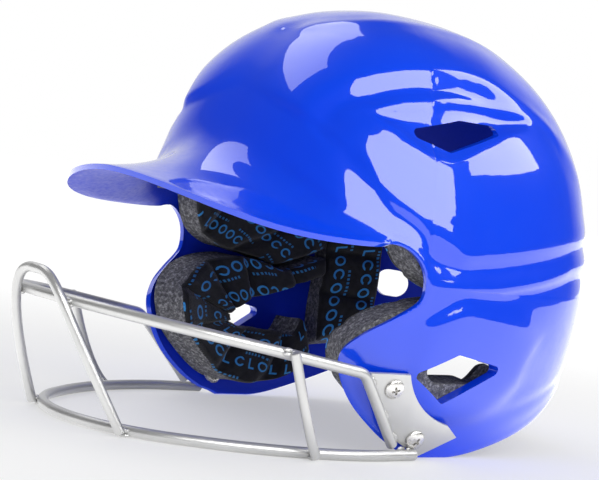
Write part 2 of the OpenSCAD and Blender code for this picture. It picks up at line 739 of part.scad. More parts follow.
module nut_pockets() {
    on_flap() for (s = screw_spots)
        translate([each on_plate(s), -flap_depth - nut_lip - fit_gap])
            cylinder(d = nut_flange + 2 * fit_gap, h = flap_depth, $fn = 40);
}
crown_rings = 5;
crown_cols = 28;
crown_radius = 46;
crown_round = 0.35;
module crown_disc() {
    depth = wall + fit_gap;
    function ring(r, a, h) =
        let (
            d = 0.5,
            p = [r * sin(a), r * cos(a), 0],
            lean_x = ceiling(p + [d, 0, 0]) - ceiling(p - [d, 0, 0]),
            lean_y = ceiling(p + [0, d, 0]) - ceiling(p - [0, d, 0])
        )
        [p.x, p.y, ceiling(p)] - h * unit([-lean_x, -lean_y, 2 * d]);
    heights = [for (i = [0:crown_rings]) crown_thickness * (1 - crown_round * pow(i / crown_rings, 6))];
    radii = [for (i = [0:crown_rings]) crown_radius * sin(90 * i / crown_rings)];
    upper = [for (i = [1:crown_rings]) for (k = [0:crown_cols - 1])
        ring(radii[i], 360 * k / crown_cols, depth)];
    lower = [for (i = [1:crown_rings]) for (k = [0:crown_cols - 1])
        ring(radii[i], 360 * k / crown_cols, depth + heights[i])];
    n = crown_cols;
    count = len(upper);
    last = (crown_rings - 1) * n;
    polyhedron(
        points = concat(upper, lower, [ring(0, 0, depth), ring(0, 0, depth + heights[0])]),
        faces = concat(
            [for (i = [0:crown_rings - 2]) for (j = [0:n - 1])
                let (a = i * n + j, b = i * n + (j + 1) % n)
                each [
                    [b + n, b, a], [a + n, b + n, a],
                    [a + count, b + count, b + n + count], [a + count, b + n + count, a + n + count]
                ]],
            [for (j = [0:n - 1])
                let (b = (j + 1) % n)
                each [
                    [j, b, 2 * count],
                    [b + count, j + count, 2 * count + 1],
                    [last + b + count, last + b, last + j],
                    [last + j + count, last + b + count, last + j]
                ]]
        )
    );
}
// Height of the plain skull over a point in plan
function ceiling(p) =
    let (
        length = p.y < 0 ? brow_reach : nape_reach,
        rho = pow(pow(abs(p.x) / half_width, plan_power) + pow(abs(p.y) / length, plan_power),
            1 / plan_power)
    )
    wide_height + crown_rise * pow(1 - pow(rho, profile_power), 1 / profile_power);

front_limit = min([for (p = arch_points) p.y]) - bar_r;
ear_line = -(front_limit + nape_reach) / 2;
module place() {
    translate([0, ear_line, 0]) children();
}
module left_side() {
    place() children();
}
module right_side() {
    place() mirror([1, 0, 0]) children();
}

module shell() {
    color(blue) place() difference() {
        union() {
            dome_body();
            skirt_side();
            mirror([1, 0, 0]) skirt_side();
        }
        side_openings();
        mirror([1, 0, 0]) side_openings();
    }
}
module crown_pad() { color(foam_grey) place() crown_disc(); }
module forehead_foam() { color(foam_grey) place() foam(forehead_pad); }
module forehead_cover() { color(fabric_black) place() cover(forehead_pad); }
module nape_foam() { color(foam_grey) place() foam(nape_pad); }
module nape_cover() { color(fabric_black) place() cover(nape_pad); }
module temple_foam() { color(foam_grey) foam(temple_pad); }
module temple_cover() { color(fabric_black) cover(temple_pad); }
module ear_foam() {
    color(foam_grey) difference() {
        foam(ear_pad);
        nut_pockets();
    }
}
module ear_cover() { color(fabric_black) cover(ear_pad); }
module rear_foam() { color(foam_grey) foam(rear_pad); }
module rear_cover() { color(fabric_black) cover(rear_pad); }
module upper_wire() { color(silver) place() swept_wire(upper_points, loop_r, loop_sides, [0, 0, 1]); }
module lower_wire() { color(silver) place() swept_wire(lower_points, loop_r, loop_sides, [0, 0, 1]); }
module arch_wire() { color(silver) place() swept_wire(arch_points, bar_r, bar_sides, [0, 1, 0]); }
module side_bar() { color(silver) swept_wire(bar_points, bar_r, bar_sides, [0, 1, 0]); }
module guard_plate() { color(silver) plate(); }
module guard_screws() { color(zinc) screws(); }
module guard_nuts() { color(zinc) nuts(); }

shell();
crown_pad();
forehead_foam();
forehead_cover();
left_side() temple_foam();  // temple_foam_left
right_side() temple_foam();  // temple_foam_right
left_side() temple_cover();  // temple_cover_left
right_side() temple_cover();  // temple_cover_right
left_side() ear_foam();  // ear_foam_left
right_side() ear_foam();  // ear_foam_right
left_side() ear_cover();  // ear_cover_left
right_side() ear_cover();  // ear_cover_right
left_side() rear_foam();  // rear_foam_left
right_side() rear_foam();  // rear_foam_right
left_side() rear_cover();  // rear_cover_left
right_side() rear_cover();  // rear_cover_right
nape_foam();
nape_cover();
upper_wire();
lower_wire();
arch_wire();
left_side() side_bar();  // side_bar_left
right_side() side_bar();  // side_bar_right
left_side() guard_plate();  // guard_plate_left
right_side() guard_plate();  // guard_plate_right
left_side() guard_screws();  // guard_screws_left
right_side() guard_screws();  // guard_screws_right
left_side() guard_nuts();  // guard_nuts_left
right_side() guard_nuts();  // guard_nuts_right
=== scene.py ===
# Batting helmet with a wire face guard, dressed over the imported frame.
# X runs across the head, -Y is the front, +Z is up. Shapes are worked out in
# millimetres from the ear line and turned into metres when a mesh is made.
import math

import bmesh
import bpy
import numpy as np
from mathutils import Matrix, Vector


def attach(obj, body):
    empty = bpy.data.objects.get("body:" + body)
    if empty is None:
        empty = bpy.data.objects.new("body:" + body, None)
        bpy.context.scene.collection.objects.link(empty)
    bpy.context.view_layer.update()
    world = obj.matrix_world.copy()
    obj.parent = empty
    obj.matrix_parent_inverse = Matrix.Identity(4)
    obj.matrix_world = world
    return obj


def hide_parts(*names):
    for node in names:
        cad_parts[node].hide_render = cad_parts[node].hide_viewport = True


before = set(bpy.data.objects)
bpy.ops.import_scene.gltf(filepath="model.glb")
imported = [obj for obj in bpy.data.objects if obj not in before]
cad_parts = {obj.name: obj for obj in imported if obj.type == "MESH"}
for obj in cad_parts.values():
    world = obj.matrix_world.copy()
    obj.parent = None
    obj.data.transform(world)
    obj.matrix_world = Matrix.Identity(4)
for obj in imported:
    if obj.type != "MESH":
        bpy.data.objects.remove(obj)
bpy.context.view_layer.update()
print("frame loaded")

earLine = 30.68


def addObject(name, data):
    obj = bpy.data.objects.new(name, data)
    bpy.context.scene.collection.objects.link(obj)
    return obj


# Camera
view = dict(focal=1685.0, width=599.0, sensor=36, azimuth=51.0, pitch=2.28, roll=7.82,
            place=(683.51, -586.54, 131.84))


def addCamera():
    az, el, roll = (math.radians(view[k]) for k in ("azimuth", "pitch", "roll"))
    forward = Vector((-math.sin(az) * math.cos(el), math.cos(az) * math.cos(el), -math.sin(el)))
    right = Vector((math.cos(az), math.sin(az), 0))
    up = right.cross(forward)
    r = math.cos(roll) * right + math.sin(roll) * up
    u = -math.sin(roll) * right + math.cos(roll) * up
    data = bpy.data.cameras.new("camera")
    data.sensor_width = view["sensor"]
    data.lens = view["focal"] * view["sensor"] / view["width"]
    data.clip_end = 60
    camera = addObject("camera", data)
    x, y, z = view["place"]
    m = Matrix((r, u, -forward)).transposed().to_4x4()
    m.translation = Vector((x, y + earLine, z)) / 1000
    camera.matrix_world = m
    bpy.context.scene.camera = camera


addCamera()


# Numbers and curves
def sgnPow(v, e):
    return np.sign(v) * np.abs(v) ** e


def unit(v):
    v = np.asarray(v, float)
    return v / np.maximum(np.linalg.norm(v, axis=-1, keepdims=True), 1e-9)


def mix(a, b, t):
    return a + (b - a) * t


def ease(t):
    c = np.clip(t, 0, 1)
    return c * c * (3 - 2 * c)


def cubic(p0, p1, p2, p3, t):
    s = 1 - t
    return p0 * s ** 3 + p1 * 3 * t * s ** 2 + p2 * 3 * t * t * s + p3 * t ** 3


# Smooth curve through every point, t from 0 to 1
def through(points, t):
    p = np.asarray(points, float)
    n = len(p)
    s = np.clip(np.asarray(t, float), 0, 1) * (n - 1)
    i = np.minimum(n - 2, np.floor(s).astype(int))
    f = (s - i)[..., None]
    a, b = p[i], p[i + 1]
    da = (b - p[np.maximum(i - 1, 0)]) / 2
    db = (p[np.minimum(i + 2, n - 1)] - a) / 2
    return cubic(a, a + da / 3, b - db / 3, b, f)


def tableValue(table, x):
    t = np.asarray(table, float)
    x = np.asarray(x, float)
    n = len(t)
    i = np.clip(np.searchsorted(t[:, 0], x, side="right") - 1, 0, n - 2)
    x0, x1, y0, y1 = t[i, 0], t[i + 1, 0], t[i, 1], t[i + 1, 1]
    before, after = t[np.maximum(i - 1, 0)], t[np.minimum(i + 2, n - 1)]
    m0 = np.where(i == 0, 0, (y1 - before[..., 1]) / (x1 - before[..., 0]))
    m1 = np.where(i == n - 2, 0, (after[..., 1] - y0) / (after[..., 0] - x0))
    run = (x1 - x0) / 3
    return cubic(y0, y0 + m0 * run, y1 - m1 * run, y1, np.clip((x - x0) / (x1 - x0), 0, 1))


# Skull: plan angle 0 is the front, 90 the wearer's left, 180 the rear
skullSize = dict(halfWidth=106.3, brow=100.9, nape=129.1, wideZ=83.8, rise=137.1,
                 plan=2.56, profile=2.3, sideTaper=0.21, napeTaper=0.07)
wall = 4.0
notchZ, notchAngle, templeZ = 86.0, 74.3, 104.4
billAngle, billReach, billTipZ = 62.5, 156.0, 123.0
billCurve = dict(side=1.81, front=3.36, lift=2.29)
domeShare = 0.66  # rows up to here lie on the skull, the rest curl out to the rim


def domeScale(z):
    lift = np.clip((z - skullSize["wideZ"]) / skullSize["rise"], 0, 1)
    return (1 - lift ** skullSize["profile"]) ** (1 / skullSize["profile"])


def drop(z):
    return np.maximum(0, (skullSize["wideZ"] - z) / skullSize["wideZ"])


def frontScale(z):
    return 1 - skullSize["sideTaper"] * drop(z) ** 1.7


def rearScale(z):
    return 1 - skullSize["napeTaper"] * drop(z) ** 2


def skull(a, z):
    a, z = np.broadcast_arrays(np.radians(a), np.asarray(z, float))
    k, e = domeScale(z), 2 / skullSize["plan"]
    length = np.where(np.cos(a) > 0, skullSize["brow"] * frontScale(z), skullSize["nape"] * rearScale(z))
    return np.stack([skullSize["halfWidth"] * frontScale(z) * k * sgnPow(np.sin(a), e),
                     -length * k * sgnPow(np.cos(a), e), z], -1)


def skullNormal(a, z):
    d = 0.4
    a, z = np.asarray(a, float), np.asarray(z, float)
    return unit(np.cross(skull(a + d, z) - skull(a - d, z), skull(a, z + d) - skull(a, z - d)))


def heightAt(profileAngle):
    return skullSize["wideZ"] + skullSize["rise"] * np.sin(np.radians(profileAngle)) ** (2 / skullSize["profile"])


def profileAngle(z):
    lift = np.clip((z - skullSize["wideZ"]) / skullSize["rise"], 0, 1)
    return np.degrees(np.arcsin(lift ** (skullSize["profile"] / 2)))


# Plan angle, 0 to 180, of points near the skull
def angleOf(p):
    p = np.asarray(p, float)
    x, y, z = np.abs(p[..., 0]), p[..., 1], p[..., 2]
    k = np.maximum(domeScale(z), 1e-3)
    length = np.where(y < 0, skullSize["brow"] * frontScale(z), skullSize["nape"] * rearScale(z))
    e = skullSize["plan"] / 2
    s = (x / (skullSize["halfWidth"] * frontScale(z) * k)) ** e
    c = (np.abs(y) / (length * k)) ** e
    return np.degrees(np.arctan2(s, np.where(y < 0, c, -c)))


rootY = -skullSize["brow"] * math.cos(math.radians(billAngle)) ** (2 / skullSize["plan"])
rootX = skullSize["halfWidth"] * math.sin(math.radians(billAngle)) ** (2 / skullSize["plan"])


# Edge of the dome: the bill, then the top of the notch, then the joint with the skirt
def rimPoint(a):
    w = np.clip(np.abs(a) / billAngle, 0, 1)
    q = np.pi / 2 * (1 - (1 - w) ** 2)
    c, s = np.clip(np.cos(q), 0, 1), np.sin(q)
    bill = np.stack([np.sign(a) * rootX * s ** (2 / billCurve["side"]),
                     rootY - (billReach + rootY) * c ** (2 / billCurve["front"]),
                     templeZ + (billTipZ - templeZ) * c ** billCurve["lift"]], -1)
    share = np.clip((np.abs(a) - billAngle) / (notchAngle - billAngle), 0, 1)
    rest = skull(a, notchZ + (templeZ - notchZ) * np.sqrt(1 - share ** 2))
    return np.where((np.abs(a) < billAngle)[..., None], bill, rest)


def domePoint(a, v):
    a, v = np.broadcast_arrays(np.asarray(a, float), np.asarray(v, float))
    tip = rimPoint(a)
    out = tip - skull(a, tip[..., 2])
    blend = 13 + 0.16 * np.linalg.norm(out, axis=-1)
    z = tip[..., 2]
    upper = skull(a, heightAt(mix(90, profileAngle(z + blend), v / domeShare)))
    t = np.clip((v - domeShare) / (1 - domeShare), 0, 1)[..., None]
    lower = cubic(skull(a, z + blend), skull(a, z + blend * 0.38) + out * 0.02,
                  skull(a, z + blend * 0.16) + out * 0.36, tip, t)
    return np.where((v < domeShare)[..., None], upper, lower)


flapFront = [(0, 74.3), (0.09, 73.2), (0.19, 66.5), (0.3, 57.6), (0.41, 51.4),
             (0.53, 51.6), (0.7, 57.5), (0.86, 68.5), (0.95, 77.5), (1, 85)]
lowerEdge = [(85, 0), (93, 0), (101, 4), (118, 16), (137, 33), (157, 41), (180, 43)]


def skirtAngle(c, w):
    return mix(tableValue(flapFront, w), 180, c)


def skirtHeight(c, w):
    return mix(notchZ, np.maximum(0, tableValue(lowerEdge, skirtAngle(c, w))), w)


# Map of the side: s runs round the shell from the ear, t up it, both in millimetres
planSteps = np.linspace(0, 180, 721)
planLine = skull(planSteps, np.full(721, skullSize["wideZ"]))
planArc = np.concatenate([[0], np.cumsum(np.linalg.norm(np.diff(planLine, axis=0), axis=1))])
planArc -= planArc[360]
riseSteps = np.linspace(skullSize["wideZ"], skullSize["wideZ"] + skullSize["rise"], 900)
riseLine = np.stack([skullSize["halfWidth"] * domeScale(riseSteps), riseSteps], -1)
riseArc = np.concatenate([[0], np.cumsum(np.linalg.norm(np.diff(riseLine, axis=0), axis=1))])


def toMap(a, z):
    t = np.where(z < skullSize["wideZ"], z - skullSize["wideZ"], np.interp(z, riseSteps, riseArc))
    return np.stack([np.interp(np.abs(a), planSteps, planArc) * domeScale(z), t], -1)


# Points x, y, z on the left side of the shell as a smooth line on the map
def mapLine(points, closed=False, steps=7):
    p = np.asarray(points, float)
    q = toMap(angleOf(p), p[:, 2])
    if closed:
        n = len(q)
        q = np.concatenate([q[-1:], q, q[:2]])
        t = np.linspace(1 / (n + 2), (n + 1) / (n + 2), n * steps + 1)
        return through(q, t)
    return through(q, np.linspace(0, 1, (len(q) - 1) * steps + 1))


# Distance to a line, its side (1 is left of its run) and the share along it
def fromLine(q, line):
    best = np.full(len(q), 1e9)
    side = np.zeros(len(q))
    share = np.zeros(len(q))
    n = len(line) - 1
    for i in range(n):
        a, b = line[i], line[i + 1]
        d = b - a
        size = max(d @ d, 1e-9)
        r = q - a
        f = np.clip(r @ d / size, 0, 1)
        gap = np.linalg.norm(r - f[:, None] * d, axis=1)
        closer = gap < best - 1e-9
        cross = d[0] * r[:, 1] - d[1] * r[:, 0]
        best = np.where(closer, gap, best)
        side = np.where(closer, np.sign(cross), side)
        share = np.where(closer, (i + f) / n, share)
    return best, side, share


# Distance to a closed line, positive inside
def within(q, loop):
    gap = fromLine(q, loop)[0]
    x, y = q[:, 0], q[:, 1]
    odd = np.zeros(len(q), bool)
    for a, b in zip(loop[:-1], loop[1:]):
        crosses = (a[1] > y) != (b[1] > y)
        odd ^= crosses & (x < (b[0] - a[0]) * (y - a[1]) / (b[1] - a[1] + 1e-12) + a[0])
    return np.where(odd, gap, -gap)


def bell(d, width):
    return np.exp(-(d / width) ** 2)


# Moulded relief of the shell. Lines are x, y, z on the left side; heights are in millimetres.
browTop = mapLine([(50, -82, 158), (49, -79, 164), (53, -73, 173), (59, -64, 179), (66, -51, 185),
                   (72, -31, 189), (75, -6, 190), (77, 13, 187), (79, 30, 183), (80, 50, 177)])
browFoot = mapLine([(63, -74, 161), (69, -64, 169), (76, -46, 177), (79, -23, 182), (80, 4, 184),
                    (80, 33, 181), (81, 57, 171), (80, 78, 155), (76, 96, 136)])
eye = mapLine([(76, -59, 164), (79, -47, 171), (83, -32, 174), (84, -19, 177), (83, -2, 178), (84, 15, 177),
               (84, 39, 173), (90, 18, 165), (95, -6, 154), (97, -23, 147), (95, -32, 148), (91, -42, 151),
               (84, -52, 159)], True)
island = mapLine([(63, -73, 162), (64, -70, 166), (69, -62, 171), (73, -57, 170), (79, -47, 171.5),
                  (71, -66, 163)], True)
scoop = mapLine([(51, -82, 158), (59, -78, 157), (70, -74, 150), (78, -69, 143), (74, -73, 144),
                 (62, -80, 149)], True)
templeLine = mapLine([(45, -90, 139), (59, -86, 133), (70, -82, 127), (80, -75, 120)])
sweep = mapLine([(78, -68, 148), (80, -67, 145), (88, -61, 134), (94, -53, 125), (101, -37, 115),
                 (104, -26, 110), (106, -13, 104)])
beltTop = mapLine([(94, -57, 111), (97, -52, 109), (102, -37, 105), (105, -19, 101), (106, 1, 103),
                   (105, 22, 106), (102, 46, 110), (93, 75, 115), (70, 103, 119), (40, 118, 121),
                   (0.1, 121, 122)])
beltFoot = mapLine([(104, -31, 87), (106, -10, 87), (106, 10, 88), (104, 40, 93), (100, 58, 97),
                    (93, 79, 102), (70, 108, 104), (40, 122, 105), (0.1, 127, 105)])
earShape = mapLine([(95, -52, 50), (98, -47, 63), (103, -31, 73), (106, -15, 81), (106, -6, 83), (106, 12, 81),
                    (105, 33, 75), (101, 49, 67), (97, 58, 58), (95, 58, 48), (94, 48, 36), (93, 36, 27),
                    (91, 18, 18), (88, 2, 8), (86, -20, -6), (86, -50, -2), (90, -62, 25)], True)
tailLine = mapLine([(89, 1, 11), (91, 25, 19), (92, 38, 23), (90, 61, 30), (74, 99, 43), (40, 122, 50),
                    (0.1, 127, 52)])
crownLine = mapLine([(4, -60, 201), (14, -52, 206), (24, -46, 208), (32, -38, 210), (36, -20, 213),
                     (38, 5, 214), (38, 35, 210), (36, 62, 201)])


plateScoop = dict(centre=(6, 61), radius=46.0)
# Rise or depth of each form, width of its flanks, and share of its run over which it fades in and out
mould = dict(
    brow=dict(rise=2.6, drop=2.0, facet=10, crownWidth=30, sideWidth=9, fade=(0.08, 0.25)),
    ridge=dict(rise=0.9, width=3.2, begins=0.55, fade=(0.2, 0.12)),
    eye=dict(depth=3.9, slope=7, lip=0.5, lipWidth=2.5),
    blade=dict(rise=1.0, slope=1.8),
    scoop=dict(depth=1.9, slope=3.5, lip=0.35, lipWidth=2),
    crease=dict(rise=0.7, width=1.5, depth=0.5, place=4, depthWidth=5, fade=(0.15, 0.2)),
    sweep=dict(rise=0.45, width=1.6, depth=1.6, slope=6, run=15, fade=(0.16, 0.1)),
    beltTop=dict(rise=0.9, width=7, depth=1.3, slope=4, depthWidth=6, fade=0.1),
    beltFoot=dict(rise=0.8, width=6, depth=1.1, slope=4, depthWidth=9, fade=0.25),
    ear=dict(rise=2.2, slope=9, clear=2),
    tail=dict(depth=0.9, width=2.4, fade=0.1),
    crown=dict(rise=0.9, width=3, fade=(0.12, 0.2)),
)


def fadeEnds(share, fade):
    return ease(share / fade[0]) * ease((1 - share) / fade[1])


# Low lip round the outside of a hollow
def lip(d, m):
    return m["lip"] * bell(np.minimum(d, 0), m["lipWidth"]) * (d <= 0)


def relief(a, z):
    q = toMap(a, z)
    h = np.zeros(len(q))

    # Brow: the crown stands over the sides and steps down to them along a wide facet
    m = mould["brow"]
    d, side, share = fromLine(q, browTop)
    d = np.where(side > 0, d, -d)
    fall = -d / m["facet"]
    facet = mix(m["rise"], -m["drop"], ease(fall) * 0.3 + fall * 0.7)
    below = -m["drop"] * bell(d + m["facet"], m["sideWidth"])
    step = np.where(d > 0, m["rise"] * bell(d, m["crownWidth"]), np.where(d > -m["facet"], facet, below))
    h += step * fadeEnds(share, m["fade"])

    # The foot of the brow runs on to the rear as a fine ridge
    m = mould["ridge"]
    d, side, share = fromLine(q, browFoot)
    fade = ease((share - m["begins"]) / m["fade"][0]) * ease((1 - share) / m["fade"][1])
    h += m["rise"] * bell(d, m["width"]) * fade

    # Eye-shaped recess round the upper vent, and a small raised blade in front of it
    m = mould["eye"]
    d = within(q, eye)
    h += lip(d, m) - m["depth"] * (1 - (1 - np.clip(d / m["slope"], 0, 1)) ** 1.5)
    m = mould["blade"]
    h += m["rise"] * ease(within(q, island) / m["slope"] + 0.3)

    # Scoop, long crease and swept line of the temple
    m = mould["scoop"]
    d = within(q, scoop)
    h += lip(d, m) - m["depth"] * ease(d / m["slope"])
    m = mould["crease"]
    d, side, share = fromLine(q, templeLine)
    under = np.where(side < 0, m["depth"] * bell(d - m["place"], m["depthWidth"]), 0)
    h += fadeEnds(share, m["fade"]) * (m["rise"] * bell(d, m["width"]) - under)
    m = mould["sweep"]
    d, side, share = fromLine(q, sweep)
    under = np.where(side < 0, m["depth"] * ease(d / m["slope"]) * (1 - ease((d - m["slope"]) / m["run"])), 0)
    h += fadeEnds(share, m["fade"]) * (m["rise"] * bell(d, m["width"]) - under)

    # Belt round the shell under the dome: two rounded lines, each with a groove under it
    for m, line in ((mould["beltTop"], beltTop), (mould["beltFoot"], beltFoot)):
        d, side, share = fromLine(q, line)
        groove = mix(m["rise"], -m["depth"], ease(d / m["slope"]))
        groove = groove * bell(np.maximum(d - m["slope"], 0), m["depthWidth"])
        h += ease(share / m["fade"]) * np.where(side > 0, m["rise"] * bell(d, m["width"]), groove)

    # Bulge over the ear. The plate lies flat in front of the scooped circle, so the bulge keeps inside it.
    m = mould["ear"]
    p = skull(a, z)
    y, up = plateScoop["centre"]
    room = plateScoop["radius"] - m["clear"] - np.hypot(p[:, 1] - y, p[:, 2] - up)
    h += m["rise"] * ease((np.minimum(within(q, earShape), room) + 1) / m["slope"])

    # Fold above the tail edge, and two fine ribs over the crown
    m = mould["tail"]
    d, side, share = fromLine(q, tailLine)
    h -= m["depth"] * bell(d, m["width"]) * ease(share / m["fade"])
    m = mould["crown"]
    d, side, share = fromLine(q, crownLine)
    return h + m["rise"] * bell(d, m["width"]) * fadeEnds(share, m["fade"])


# Meshes and materials
materials = {}


def toMetres(points):
    p = np.asarray(points, float).copy()
    p[..., 1] += earLine
    return p / 1000


def addMesh(name, points, faces, uvs=None):
    mesh = bpy.data.meshes.new(name)
    mesh.from_pydata(toMetres(points).tolist(), [], faces)
    mesh.validate()
    if uvs is not None:
        layer = mesh.uv_layers.new(name="UVMap")
        index = np.empty(len(mesh.loops), dtype=np.int32)
        mesh.loops.foreach_get("vertex_index", index)
        layer.data.foreach_set("uv", np.asarray(uvs, np.float32)[index].ravel())
    return addObject(name, mesh)


def fixNormals(obj, merge=False):
    bm = bmesh.new()
    bm.from_mesh(obj.data)
    if merge:
        bmesh.ops.remove_doubles(bm, verts=bm.verts, dist=1e-6)
    bmesh.ops.recalc_face_normals(bm, faces=bm.faces)
    bm.to_mesh(obj.data)
    bm.free()


def select(obj):
    for o in bpy.context.selected_objects:
        o.select_set(False)
    obj.select_set(True)
    bpy.context.view_layer.objects.active = obj


def applyModifier(obj, kind, **settings):
    select(obj)
    mod = obj.modifiers.new("work", kind)
    for key, value in settings.items():
        setattr(mod, key, value)
    bpy.ops.object.modifier_apply(modifier=mod.name)


def smooth(obj, angle):
    select(obj)
    bpy.ops.object.shade_smooth_by_angle(angle=math.radians(angle))


def dress(obj, material, slot, *nodes, fill=None):
    if material:
        obj.data.materials.clear()
        obj.data.materials.append(materials[material])
    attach(obj, "root")
    if nodes:
        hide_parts(*nodes)


def finish(obj, angle, *looks, fill=None, merge=False):
    fixNormals(obj, merge)
    smooth(obj, angle)
    dress(obj, *looks, fill=fill)


def mirrorX(points):
    p = np.array(points, float)
    p[..., 0] *= -1
    return p


# Faces between closed rings of points; with ends, two more points close the first and the last ring
def ringFaces(rings, sides, ends=False, loop=False):
    faces = []
    for i in range(rings if loop else rings - 1):
        a, b = i * sides, (i + 1) % rings * sides
        faces += [(a + k, a + (k + 1) % sides, b + (k + 1) % sides, b + k) for k in range(sides)]
    last = (rings - 1) * sides
    for k in range(sides if ends else 0):
        after = (k + 1) % sides
        faces += [(rings * sides, after, k), (rings * sides + 1, last + k, last + after)]
    return faces


def sheetFaces(rows, cols, start=0, flip=False):
    faces = []
    for i in range(rows - 1):
        for j in range(cols - 1):
            a = start + i * cols + j
            f = (a, a + cols, a + cols + 1, a + 1)
            faces.append(tuple(reversed(f)) if flip else f)
    return faces


def joinMeshes(parts):
    points, faces, base = [], [], 0
    for p, f in parts:
        points.append(np.asarray(p, float))
        faces += [tuple(base + i for i in face) for face in f]
        base += len(p)
    return np.concatenate(points), faces


# Short names for building a tree of nodes
class Nodes:
    def __init__(self, tree):
        self.tree = tree

    def node(self, kind, **settings):
        n = self.tree.nodes.new(kind)
        for key, value in settings.items():
            setattr(n, key, value)
        return n

    def put(self, socket, value):
        if isinstance(value, bpy.types.NodeSocket):
            self.tree.links.new(value, socket)
        else:
            socket.default_value = value

    def math(self, op, a, b=0.0):
        n = self.node("ShaderNodeMath", operation=op)
        self.put(n.inputs[0], a)
        self.put(n.inputs[1], b)
        return n.outputs[0]

    def coords(self, what="Object"):
        return self.node("ShaderNodeTexCoord").outputs[what]

    def noise(self, at, scale, detail=2.0, rough=0.5):
        n = self.node("ShaderNodeTexNoise")
        self.put(n.inputs["Vector"], at)
        n.inputs["Scale"].default_value = scale
        n.inputs["Detail"].default_value = detail
        n.inputs["Roughness"].default_value = rough
        return n.outputs[0]

    def voronoi(self, at, scale):
        n = self.node("ShaderNodeTexVoronoi")
        self.put(n.inputs["Vector"], at)
        n.inputs["Scale"].default_value = scale
        return n.outputs["Distance"]

    def ramp(self, fac, stops):
        n = self.node("ShaderNodeValToRGB")
        self.put(n.inputs[0], fac)
        ramp = n.color_ramp
        while len(ramp.elements) < len(stops):
            ramp.elements.new(1.0)
        for e, (at, colour) in zip(ramp.elements, stops):
            e.position = at
            e.color = (*colour, 1) if len(colour) == 3 else colour
        return n.outputs[0]

    def span(self, value, a, b, c, d, kind="LINEAR"):
        n = self.node("ShaderNodeMapRange", interpolation_type=kind)
        for i, v in enumerate((value, a, b, c, d)):
            self.put(n.inputs[i], v)
        return n.outputs[0]

    def choose(self, fac, a, b):
        n = self.node("ShaderNodeMix", data_type="FLOAT")
        for i, v in ((0, fac), (2, a), (3, b)):
            self.put(n.inputs[i], v)
        return n.outputs[0]

    def separate(self, vector):
        n = self.node("ShaderNodeSeparateXYZ")
        self.put(n.inputs[0], vector)
        return n.outputs

    def rays(self, which):
        return self.node("ShaderNodeLightPath").outputs[which]

    def blend(self, fac, a, b, kind="MIX"):
        n = self.node("ShaderNodeMix", data_type="RGBA", blend_type=kind)
        self.put(n.inputs[0], fac)
        self.put(n.inputs[6], a if isinstance(a, bpy.types.NodeSocket) else (*a, 1))
        self.put(n.inputs[7], b if isinstance(b, bpy.types.NodeSocket) else (*b, 1))
        return n.outputs[2]

    def bump(self, height, strength, distance, normal=None):
        n = self.node("ShaderNodeBump")
        n.inputs["Strength"].default_value = strength
        n.inputs["Distance"].default_value = distance
        self.put(n.inputs["Height"], height)
        if normal is not None:
            self.put(n.inputs["Normal"], normal)
        return n.outputs[0]


# Nodes of a material round its Principled surface
class Shader(Nodes):
    def __init__(self, name):
        self.material = bpy.data.materials.new(name)
        self.material.use_nodes = True
        super().__init__(self.material.node_tree)
        self.surface = self.tree.nodes["Principled BSDF"]
        materials[name] = self.material

    def set(self, **values):
        for key, value in values.items():
            self.put(self.surface.inputs[key.replace("_", " ")], value)


def makeShellBlue():
    m = Shader("shellBlue")
    at = m.coords()
    broad = m.noise(at, 9.0, 3.0)
    colour = m.ramp(broad, [(0.3, (0.0, 0.052, 0.83)), (0.7, (0.0, 0.066, 0.90))])
    scuff = m.noise(at, 160.0, 4.0, 0.7)
    rough = m.span(scuff, 0.35, 0.75, 0.3, 0.42)
    peel = m.noise(at, 240.0, 1.0)
    m.set(Base_Color=colour, Roughness=rough, IOR=1.45, Specular_IOR_Level=0.12, Coat_Weight=1.0,
          Coat_Roughness=0.025, Coat_IOR=1.6)
    m.set(Normal=m.bump(scuff, 0.04, 0.0004), Coat_Normal=m.bump(peel, 0.03, 0.0004))
    # Bare moulding on the inside, without the gloss; its blue is darker than the outside's as painted shade
    m = Shader("shellInsideShaded")
    at = m.coords()
    broad = m.noise(at, 12.0, 3.0)
    grain = m.noise(at, 420.0, 3.0, 0.6)
    # Darker blues than the outside: painted shade of the shell's inside
    colour = m.ramp(broad, [(0.3, (0.0, 0.022, 0.55)), (0.7, (0.0, 0.03, 0.66))])
    m.set(Base_Color=colour, Roughness=m.span(grain, 0.3, 0.7, 0.42, 0.6), Specular_IOR_Level=0.3)
    m.set(Normal=m.bump(grain, 0.12, 0.0003))


# Colour clouded between two greys, roughness and bump from a fine grain
metals = dict(
    guardSilver=dict(grain=900.0, cloud=30.0, detail=3.0, spread=(0.3, 0.7), dark=(0.52, 0.52, 0.515),
                     pale=(0.61, 0.61, 0.605), metallic=0.55, rough=(0.3, 0.42), bump=0.12),
    zincSteel=dict(grain=700.0, cloud=90.0, detail=2.0, spread=(0.35, 0.65), dark=(0.62, 0.61, 0.59),
                   pale=(0.76, 0.75, 0.73), metallic=0.9, rough=(0.22, 0.36), bump=0.1),
)


def makeMetal(name, look):
    m = Shader(name)
    at = m.coords()
    grain = m.noise(at, look["grain"], 3.0, 0.6)
    cloud = m.span(m.noise(at, look["cloud"], look["detail"]), *look["spread"], 0.0, 1.0)
    m.set(Base_Color=m.blend(cloud, look["dark"], look["pale"]), Metallic=look["metallic"],
          Roughness=m.span(grain, 0.3, 0.7, *look["rough"]), Normal=m.bump(grain, look["bump"], 0.0002))


